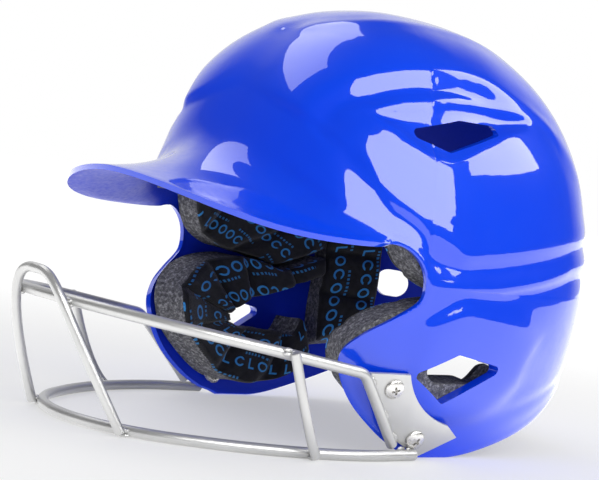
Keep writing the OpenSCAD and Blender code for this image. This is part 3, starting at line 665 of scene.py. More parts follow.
def makeFoam():
    m = Shader("foamGrey")
    at = m.coords()
    cells = m.voronoi(at, 900.0)
    specks = m.noise(at, 520.0, 3.0, 0.75)
    colour = m.ramp(specks, [(0.3, (0.055, 0.055, 0.06)), (0.5, (0.16, 0.16, 0.17)), (0.68, (0.42, 0.42, 0.43))])
    colour = m.blend(m.span(cells, 0.0, 0.5, 0.35, 0.0), colour, (0.05, 0.05, 0.055))
    m.set(Base_Color=colour, Roughness=0.95, Specular_IOR_Level=0.15)
    m.set(Normal=m.bump(m.math("ADD", cells, specks), 0.6, 0.0006))


# Black knit printed with small rings, bars and ticks in light blue. Repeats are in metres on the UV map,
# the parts of a mark in millimetres.
fabricLook = dict(wale=0.0011, course=0.0009, lean=0.22, row=0.017, column=0.0085, shift=0.0047, tick=0.0024,
                  group=0.029, ring=2.7, stroke=0.62, gapStart=1.2, gapHalf=1.3, stemPlace=-1.2, stemHalf=3.3,
                  tickPlace=6.3, tickHalf=0.8, blue=(0.05, 0.36, 0.86))


def makeFabric():
    m = Shader("fabricBlack")
    uv = m.coords("UV")
    look = fabricLook

    def times(a, b):
        return m.math("MULTIPLY", a, b)

    def plus(a, b):
        return m.math("ADD", a, b)

    def less(a, b):
        return m.math("LESS_THAN", a, b)

    def more(a, b):
        return m.math("GREATER_THAN", a, b)

    def part(value):
        return m.math("FRACT", value)

    def stroke(value, centre, half):
        return less(m.math("ABSOLUTE", m.math("SUBTRACT", value, centre)), half)

    # Knit: two crossed waves, a stitch each way
    u, v = m.separate(uv)[:2]
    wale = m.math("SINE", times(u, 2 * math.pi / look["wale"]))
    course = m.math("SINE", times(v, 2 * math.pi / look["course"]))
    knit = times(wale, course)
    # Marks stand in slanted rows, each picked by chance from its row and column
    lean = plus(u, times(v, look["lean"]))
    row = times(v, 1 / look["row"])
    rowIndex = m.math("FLOOR", row)
    column = times(plus(lean, times(rowIndex, look["shift"])), 1 / look["column"])
    join = m.node("ShaderNodeCombineXYZ")
    m.put(join.inputs[0], m.math("FLOOR", column))
    m.put(join.inputs[1], rowIndex)
    pick = m.node("ShaderNodeTexWhiteNoise", noise_dimensions="2D")
    m.put(pick.inputs["Vector"], join.outputs[0])
    chance = pick.outputs["Value"]
    # Place in a mark, across and up
    x = times(m.math("SUBTRACT", part(column), 0.5), look["column"] * 1000)
    y = times(m.math("SUBTRACT", part(row), 0.5), look["row"] * 1000)
    ring = stroke(m.math("SQRT", plus(times(x, x), times(y, y))), look["ring"], look["stroke"])
    opening = times(more(x, look["gapStart"]), stroke(y, 0.0, look["gapHalf"]))
    ring = times(ring, m.math("SUBTRACT", 1.0, times(opening, more(chance, 0.5))))
    stem = times(stroke(x, look["stemPlace"], look["stroke"]), stroke(y, 0.0, look["stemHalf"]))
    foot = times(stroke(x, 0.4, 1.9), stroke(y, -2.7, 0.6))
    kind = part(times(chance, 7.3))
    bars = times(m.math("MAXIMUM", stem, foot), times(more(kind, 0.5), less(kind, 0.85)))
    mark = plus(times(ring, less(kind, 0.5)), bars)
    # Row of small ticks over the large marks, in groups
    ticks = times(stroke(y, look["tickPlace"], look["tickHalf"]), less(part(times(lean, 1 / look["tick"])), 0.55))
    group = less(part(plus(times(lean, 1 / look["group"]), times(rowIndex, 0.37))), 0.6)
    mark = m.math("MAXIMUM", mark, times(times(ticks, group), 0.75))
    mark = times(mark, m.span(knit, -1.0, 1.0, 0.6, 1.0))
    wear = m.noise(uv, 300.0, 3.0)
    black = m.blend(m.span(wear, 0.3, 0.7, 0.0, 1.0), (0.006, 0.006, 0.008), (0.018, 0.018, 0.022))
    m.set(Base_Color=m.blend(mark, black, look["blue"]), Roughness=0.8, Specular_IOR_Level=0.3)
    m.set(Sheen_Weight=0.25, Sheen_Roughness=0.4, Normal=m.bump(knit, 0.5, 0.0003))


makeShellBlue()
for metal, metalLook in metals.items():
    makeMetal(metal, metalLook)
makeFoam()
makeFabric()
print("materials made")


# Shell: a dome and a skirt on one grid, thickened, embossed and pierced
def steps(low, high, count):
    return np.linspace(low, high, count, endpoint=False)


# The rows and columns lie closer where the moulded lines run
shellRows = np.concatenate([steps(0.012, 0.30, 26), steps(0.30, 0.56, 52), steps(0.56, domeShare, 12),
                            np.linspace(domeShare, 1.0, 27)])
notchColumns = billAngle + (notchAngle - billAngle) * np.sin(steps(0, np.pi / 2, 10))
sideColumns = np.concatenate([steps(0, 48, 40), steps(48, billAngle, 12), notchColumns,
                              steps(notchAngle, 118, 46), np.linspace(118, 180, 27)])
skirtSteps = 44


def shellGrid():
    angles = np.concatenate([sideColumns, -sideColumns[-2:0:-1]])
    n, rows = len(angles), len(shellRows)
    grid = domePoint(angles[None, :], shellRows[:, None])
    # The start of the bill's curve is eased, row against row
    for _ in range(shellEase["passes"]):
        soft = grid.copy()
        soft[1:-1] = (grid[:-2] + 2 * grid[1:-1] + grid[2:]) / 4
        weight = (ease((shellRows - 0.46) / 0.1) * ease((0.95 - shellRows) / 0.14))[:, None, None]
        grid = mix(grid, soft, weight)
    at = np.broadcast_to(np.abs(angles)[None, :], (rows, n))
    points = [grid.reshape(-1, 3)]
    around = [at.ravel()]
    faces = []
    for i in range(rows - 1):
        for j in range(n):
            k = (j + 1) % n
            faces.append((i * n + j, (i + 1) * n + j, (i + 1) * n + k, i * n + k))
    apex = rows * n
    points.append(np.array([[0, 0, skullSize["wideZ"] + skullSize["rise"]]]))
    around.append(np.array([90.0]))
    for j in range(n):
        faces.append((apex, j, (j + 1) % n))
    first = int(np.argmin(np.abs(angles - notchAngle)))
    last = int(np.argmin(np.abs(angles + notchAngle)))
    count = last - first + 1
    c = (np.abs(angles[first:last + 1]) - notchAngle) / (180 - notchAngle)
    left = np.concatenate([np.ones((count + 1) // 2), -np.ones(count // 2)])
    w = np.linspace(0, 1, skirtSteps + 1)[1:, None]
    a, z = skirtAngle(c[None, :], w), skirtHeight(c[None, :], w)
    skirt = skull(a, z)
    skirt[..., 0] *= left[None, :]
    start = apex + 1
    points.append(skirt.reshape(-1, 3))
    around.append(a.ravel())

    def at2(i, j):
        return (rows - 1) * n + first + j if i == 0 else start + (i - 1) * count + j

    for i in range(skirtSteps):
        for j in range(count - 1):
            faces.append((at2(i, j), at2(i + 1, j), at2(i + 1, j + 1), at2(i, j + 1)))
    rim = [(rows - 1) * n + j % n for j in range(last, n + first + 1)]
    rim += [at2(i, 0) for i in range(1, skirtSteps + 1)]
    rim += [at2(skirtSteps, j) for j in range(1, count)]
    rim += [at2(i, count - 1) for i in range(skirtSteps - 1, 0, -1)]
    return np.concatenate(points), np.concatenate(around), faces, rim


def meshNormals(points, faces):
    normals = np.zeros_like(points)
    quads = np.array([f if len(f) == 4 else (f[0], f[1], f[2], f[2]) for f in faces])
    p = points[quads]
    face = np.cross(p[:, 2] - p[:, 0], p[:, 3] - p[:, 1])
    tri = quads[:, 2] == quads[:, 3]
    face[tri] = np.cross(p[tri, 1] - p[tri, 0], p[tri, 2] - p[tri, 0])
    face = unit(face)
    for k in range(4):
        np.add.at(normals, quads[:, k], face)
    return unit(normals)


ventCorners = [(-38, 158), (-12, 165), (9, 165), (-22, 153.5)]
earCorners = [(-9, 52), (18, 47.5), (-10, 32), (-27.5, 43)]
ventRadius = 2.5
rearVent = dict(angle=140, height=73, radius=8, flat=2)


# Hull of a circle at each corner, in order
def roundedOutline(corners, radius, step=15):
    pts = np.array(corners, float)
    middle = pts.mean(axis=0)
    order = np.argsort(np.arctan2(pts[:, 1] - middle[1], pts[:, 0] - middle[0]))
    pts = pts[order]
    out = []
    n = len(pts)
    for i in range(n):
        before, here, after = pts[i - 1], pts[i], pts[(i + 1) % n]
        d0, d1 = unit(here - before), unit(after - here)
        a0 = math.atan2(-d0[0], d0[1])
        turn = math.atan2(d0[0] * d1[1] - d0[1] * d1[0], d0 @ d1)
        count = max(2, math.ceil(math.degrees(turn) / step))
        for k in range(count + 1):
            q = a0 + turn * k / count
            out.append(here + radius * np.array([math.cos(q), math.sin(q)]))
    return np.array(out)


# Closed solid between two copies of an outline; place(u, v, w) gives each point
def prism(outline, low, high, place):
    n = len(outline)
    points = [place(u, v, low) for u, v in outline] + [place(u, v, high) for u, v in outline]
    faces = [tuple(range(n - 1, -1, -1)), tuple(range(n, 2 * n))]
    faces += [(i, (i + 1) % n, n + (i + 1) % n, n + i) for i in range(n)]
    return points, faces


plateMid = (-27.0, 24.0)


def angleAt(y, z):
    length = (skullSize["brow"] * frontScale(z)) if y < 0 else (skullSize["nape"] * rearScale(z))
    q = min(1, abs(y) / length) ** (skullSize["plan"] / 2)
    return math.degrees(math.acos(q)) if y < 0 else 180 - math.degrees(math.acos(q))


fitGap = 0.3
plateAngle = angleAt(*plateMid)
plateNormal = skullNormal(plateAngle, plateMid[1])
plateAlong = unit(np.cross([0, 0, 1], plateNormal))
plateUp = np.cross(plateNormal, plateAlong)
plateBase = skull(plateAngle, plateMid[1]) + plateNormal * fitGap


def onPlate(y, z):
    v = (z - plateBase[2]) / plateUp[2]
    u = (y - plateBase[1] - v * plateUp[1]) / plateAlong[1]
    return np.array([u, v])


def offPlate(u, v, h):
    return plateBase + u * plateAlong + v * plateUp + h * plateNormal


def flapPoint(y, z, h):
    u, v = onPlate(y, z)
    return offPlate(u, v, h)


def planeX(y, z, h):
    slant = plateNormal[1] * (y - plateBase[1]) + plateNormal[2] * (z - plateBase[2])
    return plateBase[0] + (h - slant) / plateNormal[0]


screwSpots = [(-41.0, 36.5), (-18.0, 11.0)]
screwHole = 5.5


def circle(cx, cy, r, sides):
    q = np.arange(sides) * 2 * math.pi / sides
    return np.stack([cx + r * np.cos(q), cy + r * np.sin(q)], -1)


shellEdge = dict(bead=0.35, beadPlace=2.0, beadWidth=2.0, flat=9, thin=0.38, thinWidth=6, rounding=0.00105)
shellEase = dict(passes=70, reliefPasses=4)


def makeShell():
    points, around, faces, rim = shellGrid()
    normals = meshNormals(points, faces)
    if normals[0][2] < 0:
        normals = -normals
    h = relief(around, points[:, 2])
    # The edge carries a slim rolled bead
    rimPoints = points[rim]
    gap = np.full(len(points), 99.0)
    for k in range(len(rimPoints)):
        a, b = rimPoints[k], rimPoints[(k + 1) % len(rimPoints)]
        near = np.where(np.abs(points - a).max(axis=1) < 14)[0]
        r = points[near] - a
        d = b - a
        f = np.clip(r @ d / max(d @ d, 1e-9), 0, 1)
        gap[near] = np.minimum(gap[near], np.linalg.norm(r - f[:, None] * d, axis=1))
    # Averaged with the neighbours, so that no line shows steps
    edges = np.array([(f[k], f[(k + 1) % len(f)]) for f in faces for k in range(len(f))])
    for _ in range(shellEase["reliefPasses"]):
        total, count = h.copy(), np.ones(len(h))
        np.add.at(total, edges[:, 0], h[edges[:, 1]])
        np.add.at(count, edges[:, 0], 1)
        h = total / count
    h = h * ease(gap / shellEdge["flat"])
    h += shellEdge["bead"] * bell(gap - shellEdge["beadPlace"], shellEdge["beadWidth"])
    outer = points + normals * h[:, None]
    thick = wall * (1 - shellEdge["thin"] * bell(gap, shellEdge["thinWidth"])) - 0.5 * np.minimum(0, h)
    inner = points - normals * thick[:, None]
    n = len(points)
    total = np.concatenate([outer, inner])
    allFaces = [tuple(f) for f in faces] + [tuple(i + n for i in reversed(f)) for f in faces]
    m = len(rim)
    for k in range(m):
        a, b = rim[k], rim[(k + 1) % m]
        allFaces.append((b, a, a + n, b + n))
    obj = addMesh("helmetShell", total, allFaces)
    obj.data.materials.append(materials["shellBlue"])
    obj.data.materials.append(materials["shellInsideShaded"])
    side = np.zeros(len(obj.data.polygons), np.int32)
    side[len(faces):2 * len(faces)] = 1
    obj.data.polygons.foreach_set("material_index", side)
    bm = bmesh.new()
    bm.from_mesh(obj.data)
    bmesh.ops.recalc_face_normals(bm, faces=bm.faces)
    bm.verts.ensure_lookup_table()
    pairs = set()
    for k in range(m):
        a, b = rim[k], rim[(k + 1) % m]
        pairs.add(frozenset((a, b)))
        pairs.add(frozenset((a + n, b + n)))
    edges = [e for e in bm.edges if frozenset((e.verts[0].index, e.verts[1].index)) in pairs]
    bmesh.ops.bevel(bm, geom=edges, offset=shellEdge["rounding"], segments=4, profile=0.5, affect="EDGES",
                     clamp_overlap=True)
    bm.to_mesh(obj.data)
    bm.free()

    # Openings, cut on both sides
    cutPoints, cutFaces = [], []

    def addCut(pts, fcs):
        for flip in (1, -1):
            base = len(cutPoints)
            for p in pts:
                cutPoints.append((p[0] * flip, p[1], p[2]))
            for f in fcs:
                cutFaces.append(tuple(base + i for i in (f if flip == 1 else reversed(f))))

    for corners in (ventCorners, earCorners):
        addCut(*prism(roundedOutline(corners, ventRadius), 45, 160, lambda u, v, w: (w, u, v)))
    p = skull(rearVent["angle"], rearVent["height"])
    turn = math.atan2(p[1], p[0])
    slot = [(rearVent["flat"] * (1 if math.cos(q) > 0 else -1) + rearVent["radius"] * math.cos(q),
             rearVent["radius"] * math.sin(q)) for q in np.linspace(0, 2 * math.pi, 33)[:-1] + 0.001]
    addCut(*prism(slot, -30, 30, lambda u, v, w: (p[0] + w * math.cos(turn) - u * math.sin(turn),
                                                 p[1] + w * math.sin(turn) + u * math.cos(turn), p[2] + v)))
    for spot in screwSpots:
        u0, v0 = onPlate(*spot)
        addCut(*prism(circle(u0, v0, (screwHole + 1.6) / 2, 24), -30, 30, lambda u, v, w: offPlate(u, v, w)))
    cutter = addMesh("cutter", cutPoints, cutFaces)
    fixNormals(cutter)
    applyModifier(obj, "BOOLEAN", operation="DIFFERENCE", solver="MANIFOLD", object=cutter)
    if len(obj.data.polygons) < 1000:
        print("the cut failed")
    bpy.data.objects.remove(cutter)
    smooth(obj, 38)
    print("shell triangles", sum(len(f.vertices) - 2 for f in obj.data.polygons))
    dress(obj, None, "shell_blue", "shell")


makeShell()
print("shell made")


# Pads: a strip between two edges on the inner face of the shell
earRibs = [(107, 84.5, 107, 73), (101, 79, 102.5, 69), (95, 73.5, 97, 63), (89, 79, 91, 57), (82.5, 79, 87, 51),
           (72, 74.5, 84.5, 48), (61, 66, 83, 46), (53, 53.5, 82, 44.5), (54, 38, 82.5, 41.5), (64, 24, 85, 38),
           (76, 11, 90, 37.5), (87, 7, 94, 37.5), (95, 12, 98, 36), (103, 22, 101, 47)]
templeRibs = [(63, 119, 78, 146), (71, 96, 90, 137), (80, 85.5, 101, 124), (89, 81.5, 108, 108), (95, 75.5, 109, 88.5)]
rearRibs = [(111.5, 121, 134, 118), (111.5, 95, 134, 95), (111.5, 75, 134, 73), (110, 52, 132, 52), (109, 29, 126, 34)]
foreheadRibs = [(-42, 113, -42, 151), (-22, 116, -22, 154), (0, 117, 0, 155), (22, 116, 22, 154), (42, 113, 42, 151)]
napeRibs = [(165, 57, 165, 91), (174, 59, 174, 93), (186, 59, 186, 93), (195, 57, 195, 91)]
padKinds = {
    "ear": dict(ribs=earRibs, thick=23.5, quilts=8, lean=unit([0.98, -0.2, 0]), sides=2, nt=150, nq=34),
    "temple": dict(ribs=templeRibs, thick=19.0, quilts=3, lean=np.array([1.0, 0, 0]), sides=2, nt=70, nq=34),
    "rear": dict(ribs=rearRibs, thick=19.0, quilts=3, lean=None, sides=2, nt=80, nq=30),
    "forehead": dict(ribs=foreheadRibs, thick=12.0, quilts=6, lean=None, sides=1, nt=110, nq=34),
    "nape": dict(ribs=napeRibs, thick=14.0, quilts=2, lean=None, sides=1, nt=50, nq=30),
}
coverThickness = 1.2
# Shares of a pad's size, then the fabric's puff, stitch and hem in millimetres
padForm = dict(endTaper=0.2, channel=0.12, lean=0.8, roll=0.03, edgeDrop=0.11, endDrop=0.05, waist=0.03,
               waistRings=(0.12, 0.3, 0.5, 0.7, 0.88), puff=0.5, stitch=0.35, hem=0.3, hemPlace=2.6)


def inside(a, z, depth):
    return skull(a, z) - skullNormal(a, z) * (wall + depth)


# A point of a pad: t along it, q from -1 to 1 across it, height as a share of its thickness
def padPoint(pad, t, q, height, extra=0.0):
    taper = 1 - padForm["endTaper"] + padForm["endTaper"] * (1 - np.abs(2 * t - 1) ** 10) ** 0.25
    r = through(pad["ribs"], t)
    f = ((1 + q * taper) / 2)[..., None]
    spot = mix(r[..., :2], r[..., 2:], f)
    a, z = spot[..., 0], spot[..., 1]
    groove = np.abs(np.cos(np.pi * t * pad["quilts"])) ** 14
    top = pad["thick"] * (1 - padForm["channel"] * groove)
    out = skullNormal(a, z)
    lean = out if pad["lean"] is None else mix(out, pad["lean"], padForm["lean"])
    rise = (top - fitGap) * height + extra
    return inside(a, z, fitGap) - rise[..., None] * unit(lean)


# Height share of the pad's face across it, as the solid has it but rounded
def crownHeight(q):
    a = np.abs(q)
    return 1 - padForm["roll"] * ease((a - 0.45) / 0.47) - padForm["edgeDrop"] * np.clip((a - 0.9) / 0.1, 0, 1) ** 2


# Closed solid between two grids of the same size, with rings of points down its sides
def closedSheet(name, top, bottom, rings=(), uv=None):
    rows, cols = top.shape[:2]
    count = rows * cols
    edge = [(0, j) for j in range(cols)] + [(i, cols - 1) for i in range(1, rows)]
    edge += [(rows - 1, j) for j in range(cols - 2, -1, -1)] + [(i, 0) for i in range(rows - 2, 0, -1)]
    m = len(edge)
    points = [top.reshape(-1, 3), bottom.reshape(-1, 3)]
    loops = [[count + i * cols + j for i, j in edge]]
    for k, ring in enumerate(rings):
        points.append(np.array([ring[i, j] for i, j in edge]))
        loops.append(list(range(2 * count + k * m, 2 * count + (k + 1) * m)))
    loops.append([i * cols + j for i, j in edge])
    faces = sheetFaces(rows, cols) + sheetFaces(rows, cols, count, True)
    for low, high in zip(loops[:-1], loops[1:]):
        faces += [(low[(k + 1) % m], low[k], high[k], high[(k + 1) % m]) for k in range(m)]
    uvs = None if uv is None else np.concatenate([uv.reshape(-1, 2)] * 2)
    return addMesh(name, np.concatenate(points), faces, uvs)


def padUv(points):
    along = np.linalg.norm(np.diff(points.mean(axis=1), axis=0), axis=1)
    across = np.linalg.norm(np.diff(points, axis=1), axis=2)
    u = np.concatenate([[0], np.cumsum(along)])[:, None] * np.ones(points.shape[1])
    v = np.concatenate([np.zeros((len(points), 1)), np.cumsum(across, axis=1)], axis=1)
    return np.stack([u, v - v[:, -1:] / 2], -1) / 1000


def makePad(kind, side):
    pad, form = padKinds[kind], padForm
    tail = "_" + side if side else ""
    t = np.linspace(0, 1, pad["nt"] + 1)[:, None]
    q = np.sin(np.linspace(-np.pi / 2, np.pi / 2, pad["nq"] + 1))[None, :]
    t, q = np.broadcast_arrays(t, q)

    def point(across, height, extra=0.0):
        p = padPoint(pad, t, across, height, extra)
        return mirrorX(p) if side == "right" else p

    ends = ease(np.minimum(t, 1 - t) * pad["nt"] / 3)
    height = crownHeight(q) - form["endDrop"] * (1 - ends)
    # Waist: the sides draw in a little between the shell and the face
    rings = [point(q * (1 - form["waist"] * math.sin(math.pi * share)), share * height)
             for share in form["waistRings"]]
    foam = closedSheet(kind + "Foam" + side.title(), point(q, height), point(q, 0.0), rings)
    finish(foam, 50, "foamGrey", "foam", kind + "_foam" + tail, fill=1.0)

    # Fabric: puffed between the sewn channels, hemmed along the edges
    channel = np.abs(np.cos(np.pi * t * pad["quilts"])) ** 40
    hem = bell((1 - np.abs(q)) * 24 - form["hemPlace"], 0.9)
    puff = form["puff"] * (1 - channel) * (1 - np.abs(q) ** 6) - form["stitch"] * channel - form["hem"] * hem
    upper = point(q, height, fitGap + coverThickness + puff)
    cover = closedSheet(kind + "Cover" + side.title(), upper, point(q, height, fitGap), uv=padUv(upper))
    finish(cover, 50, "fabricBlack", "fabric", kind + "_cover" + tail, fill=0.8)


for padKind, padValues in padKinds.items():
    for padSide in ("left", "right") if padValues["sides"] == 2 else ("",):
        makePad(padKind, padSide)


def ceiling(x, y):
    length = np.where(y < 0, skullSize["brow"], skullSize["nape"])
    e = skullSize["plan"]
    rho = ((np.abs(x) / skullSize["halfWidth"]) ** e + (np.abs(y) / length) ** e) ** (1 / e)
    p = skullSize["profile"]
    return skullSize["wideZ"] + skullSize["rise"] * (1 - rho ** p) ** (1 / p)


crownPad = dict(rings=26, columns=72, radius=46.0, thick=12, roll=0.35, dimples=6, dimplePlace=26, dimpleDepth=2.5,
                dimpleWidth=4.5)


def makeCrownPad():
    pad = crownPad
    f = np.sin(np.linspace(0, np.pi / 2, pad["rings"] + 1))[1:, None]
    a = steps(0, 2 * np.pi, pad["columns"])[None, :]
    x, y = pad["radius"] * f * np.sin(a), pad["radius"] * f * np.cos(a)
    d = 0.5
    nx = ceiling(x + d, y) - ceiling(x - d, y)
    ny = ceiling(x, y + d) - ceiling(x, y - d)
    normal = unit(np.stack([-nx, -ny, np.full_like(nx, 2 * d)], -1))
    base = np.stack([x, y, ceiling(x, y)], -1)
    depth = wall + fitGap
    # Punched dimples and a soft roll at the edge
    dimple = np.zeros_like(x)
    for q in steps(0, 2 * np.pi, pad["dimples"]):
        away = np.hypot(x - pad["dimplePlace"] * math.sin(q), y - pad["dimplePlace"] * math.cos(q))
        dimple += bell(away, pad["dimpleWidth"])
    thick = pad["thick"] * (1 - pad["roll"] * f ** 6) - pad["dimpleDepth"] * dimple
    upper = base - normal * depth
    lower = base - normal * (depth + thick)[..., None]
    apex = skullSize["wideZ"] + skullSize["rise"] - depth
    points = np.concatenate([upper.reshape(-1, 3), lower[::-1].reshape(-1, 3),
                             [[0, 0, apex], [0, 0, apex - pad["thick"]]]])
    crown = addMesh("crownFoam", points, ringFaces(2 * pad["rings"], pad["columns"], ends=True))
    finish(crown, 50, "foamGrey", "foam", "crown_pad", fill=1.0)


makeCrownPad()
print("pads made")


# Wires of the guard
loopR, barR, touch = 2.7, 2.4, 0.05
wireGap = loopR + barR + touch
upperHeight, loopSlope = 59.8, 0.131
# Reach forward of the ear line and bend radii, from the front round to the plate
lowerLoop = dict(reach=161.2, front=74.4, frontTurn=53.4, side=170.8, rear=80)
upperLoop = dict(reach=180.5, front=98.8, frontTurn=51.1, side=64.3, rear=9)


def bendPoints(corner, before, after, take, step=3.0):
    turn = math.acos(max(-1, min(1, float(before @ after))))
    radius = take / math.tan(turn / 2)
    centre = corner + unit(after - before) * radius / math.cos(turn / 2)
    start = unit(corner - before * take - centre)
    side = np.cross(unit(np.cross(before, after)), start)
    count = max(3, math.ceil(math.degrees(turn) / step))
    return [centre + radius * (start * math.cos(turn * k / count) + side * math.sin(turn * k / count))
            for k in range(count + 1)]


def bentPath(corners, bends):
    c = [np.asarray(p, float) for p in corners]
    n = len(c)
    dirs = [unit(c[i + 1] - c[i]) for i in range(n - 1)]
    runs = [float(np.linalg.norm(c[i + 1] - c[i])) for i in range(n - 1)]
    wanted = [0.0] * n
    for i in range(1, n - 1):
        turn = math.acos(max(-1, min(1, float(dirs[i - 1] @ dirs[i]))))
        wanted[i] = bends[i - 1] * math.tan(turn / 2)
    room = [min(1, runs[i] / (wanted[i] + wanted[i + 1]) * 0.98) for i in range(n - 1)]
    out = [c[0]]
    for i in range(1, n - 1):
        out += bendPoints(c[i], dirs[i - 1], dirs[i], wanted[i] * min(room[i - 1], room[i]))
    return np.array(out + [c[-1]])


# Wire from one plate round the front to the other, mirrored about the middle; level(y) is its height at the front
def loopPath(loop, half, level):
    apex = -loop["reach"] - loop["front"] * (1 / math.cos(math.radians(loop["frontTurn"])) - 1)
    corners = [(-x, y, z) for x, y, z in reversed(half)] + [(0, apex, level(apex))] + half
    return bentPath(corners, [loop[k] for k in ("rear", "side", "front", "side", "rear")])


def upperZ(y):
    return upperHeight - loopSlope * (y + upperLoop["reach"])


lowerEndX = planeX(-17, loopR, 2 + loopR + touch)
lowerHalf = [(88.8, -92.1, loopR), (lowerEndX + 1.6, -46, loopR), (lowerEndX, -17, loopR)]
lowerPath = loopPath(lowerLoop, lowerHalf, lambda y: loopR)
edgeTop, edgeFoot = (-60.5, 43.5), (-29.5, 7.6)
upperHalf = [(89.6, -127.9, upperZ(-127.9))] + [tuple(flapPoint(*p, loopR + touch)) for p in (edgeTop, edgeFoot)]
upperPath = loopPath(upperLoop, upperHalf, upperZ)


def beside(path, y, gap):
    i = max(k for k in range(len(path) - 1) if path[k][0] > 0 and path[k][1] <= y)
    p, q = path[i], path[i + 1]
    out = unit([q[1] - p[1], p[0] - q[0], 0])
    return p + (q - p) * (y - p[1]) / (q[1] - p[1]) + out * gap


archFoot = beside(lowerPath, 10 - lowerLoop["reach"], wireGap) + np.array([0, 0, barR * 0.6 - loopR])
archTop = np.array([0, -upperLoop["reach"] - wireGap - 2.41, upperHeight + 11.6])
archHalf = [cubic(archTop, archTop + np.array([15.7, 3.4, 0]), archTop + np.array([23.5, -4.8, -3.4]), archFoot, t)
            for t in np.linspace(0, 1, 49)[1:]]
archPath = np.array([(-p[0], p[1], p[2]) for p in reversed(archHalf)] + [archTop] + archHalf)
barFoot = beside(lowerPath, -79, wireGap) + np.array([0, 0, barR * 0.85 - loopR])
barTop = beside(upperPath, -104.5, wireGap) + np.array([0, 0, loopR * 0.6])
barPath = np.array([barFoot * (1 - t) ** 2 + np.array([98, -91, 12]) * 2 * t * (1 - t) + barTop * t * t
                    for t in np.linspace(0, 1, 33)])


# Round wire along a path, its cut ends slightly domed
def tube(path, radius, sides=24, dome=0.35):
    path = np.asarray(path, float)
    n = len(path)
    tangent = unit(np.concatenate([path[1:2] - path[:1], path[2:] - path[:-2], path[-1:] - path[-2:-1]]))
    side = unit(np.cross(tangent[0], [0.3, 0.2, 0.93]))
    frames = []
    for i in range(n):
        side = unit(side - tangent[i] * (side @ tangent[i]))
        frames.append(side.copy())
    q = np.arange(sides) * 2 * math.pi / sides

    def ring(centre, i, r):
        b = np.cross(tangent[i], frames[i])
        return centre + r * (np.cos(q)[:, None] * frames[i] + np.sin(q)[:, None] * b)

    rings = []
    for f in (0.5, 0.85):
        rings.append(ring(path[0] + tangent[0] * radius * dome * 0.4 * (f - 0.5), 0, radius * f))
    rings.append(ring(path[0] + tangent[0] * radius * 0.22, 0, radius))
    for i in range(1, n - 1):
        rings.append(ring(path[i], i, radius))
    rings.append(ring(path[-1] - tangent[-1] * radius * 0.22, n - 1, radius))
    for f in (0.85, 0.5):
        rings.append(ring(path[-1] - tangent[-1] * radius * dome * 0.4 * (f - 0.5), n - 1, radius * f))
    points = np.concatenate(rings + [path[:1], path[-1:]])
    return points, ringFaces(len(rings), sides, ends=True)


def addWire(name, path, radius, node):
    finish(addMesh(name, *tube(path, radius)), 40, "guardSilver", "guard_wire", node)


addWire("upperWire", upperPath, loopR, "upper_wire")
addWire("lowerWire", lowerPath, loopR, "lower_wire")
addWire("archWire", archPath, barR, "arch_wire")
addWire("sideBarLeft", barPath, barR, "side_bar_left")
addWire("sideBarRight", mirrorX(barPath), barR, "side_bar_right")


# Rippled bead of weld metal lying along a joint; size is its half length, width and height
def weld(at, along, across, size, seed):
    along, across = unit(along), unit(across)
    across = unit(across - along * (across @ along))
    up = np.cross(along, across)
    points = []
    rings, cols = 18, 20
    for i in range(rings + 1):
        u = math.pi * i / rings
        for k in range(cols):
            q = 2 * math.pi * k / cols
            r = 1 + 0.07 * math.sin(u * 9 + seed) + 0.05 * math.sin(3 * q + seed * 2)
            p = (math.cos(u) * size[0] * along + math.sin(u) * r *
                 (math.cos(q) * size[1] * across + math.sin(q) * size[2] * up))
            points.append(at + p)
    return np.array(points), ringFaces(rings + 1, cols)


# Beads on one side of the guard, mirrored to the other
def addWelds(name, parts):
    points, faces = joinMeshes(parts)
    both = joinMeshes([(points, faces), (mirrorX(points), [f[::-1] for f in faces])])
    finish(addMesh(name, *both), 60, "guardSilver", "guard_wire", merge=True)


def nearest(path, p):
    path = np.asarray(path)
    i = int(np.argmin(np.linalg.norm(path - p, axis=1)))
    i = min(max(i, 1), len(path) - 2)
    return path[i], unit(path[i + 1] - path[i - 1])


def makeWelds():
    parts = []
    # The arch touches the upper loop at its closest point on each side
    half = [p for p in archPath if p[0] > 2]
    gaps = [np.min(np.linalg.norm(upperPath - p, axis=1)) for p in half]
    joints = [(half[int(np.argmin(gaps))], upperPath), (archFoot, lowerPath), (barFoot, lowerPath), (barTop, upperPath)]
    for p, loop in joints:
        q, direction = nearest(loop, p)
        out = unit(p - q)
        up = np.cross(direction, out)
        for s in (-1, 1):
            spot = (p + q) / 2 + up * s * 1.3 + out * 0.1
            parts.append(weld(spot, direction, out, (2.6, 1.5, 1.2), len(parts)))
    addWelds("guardWelds", parts)


makeWelds()


# Fixing plates, screws and nuts
plateShape = dict(heel=(-12, 2), tip=(6, 13), rear=(-38, 46.5), topLap=2.5, thick=2, bevel=0.00035)


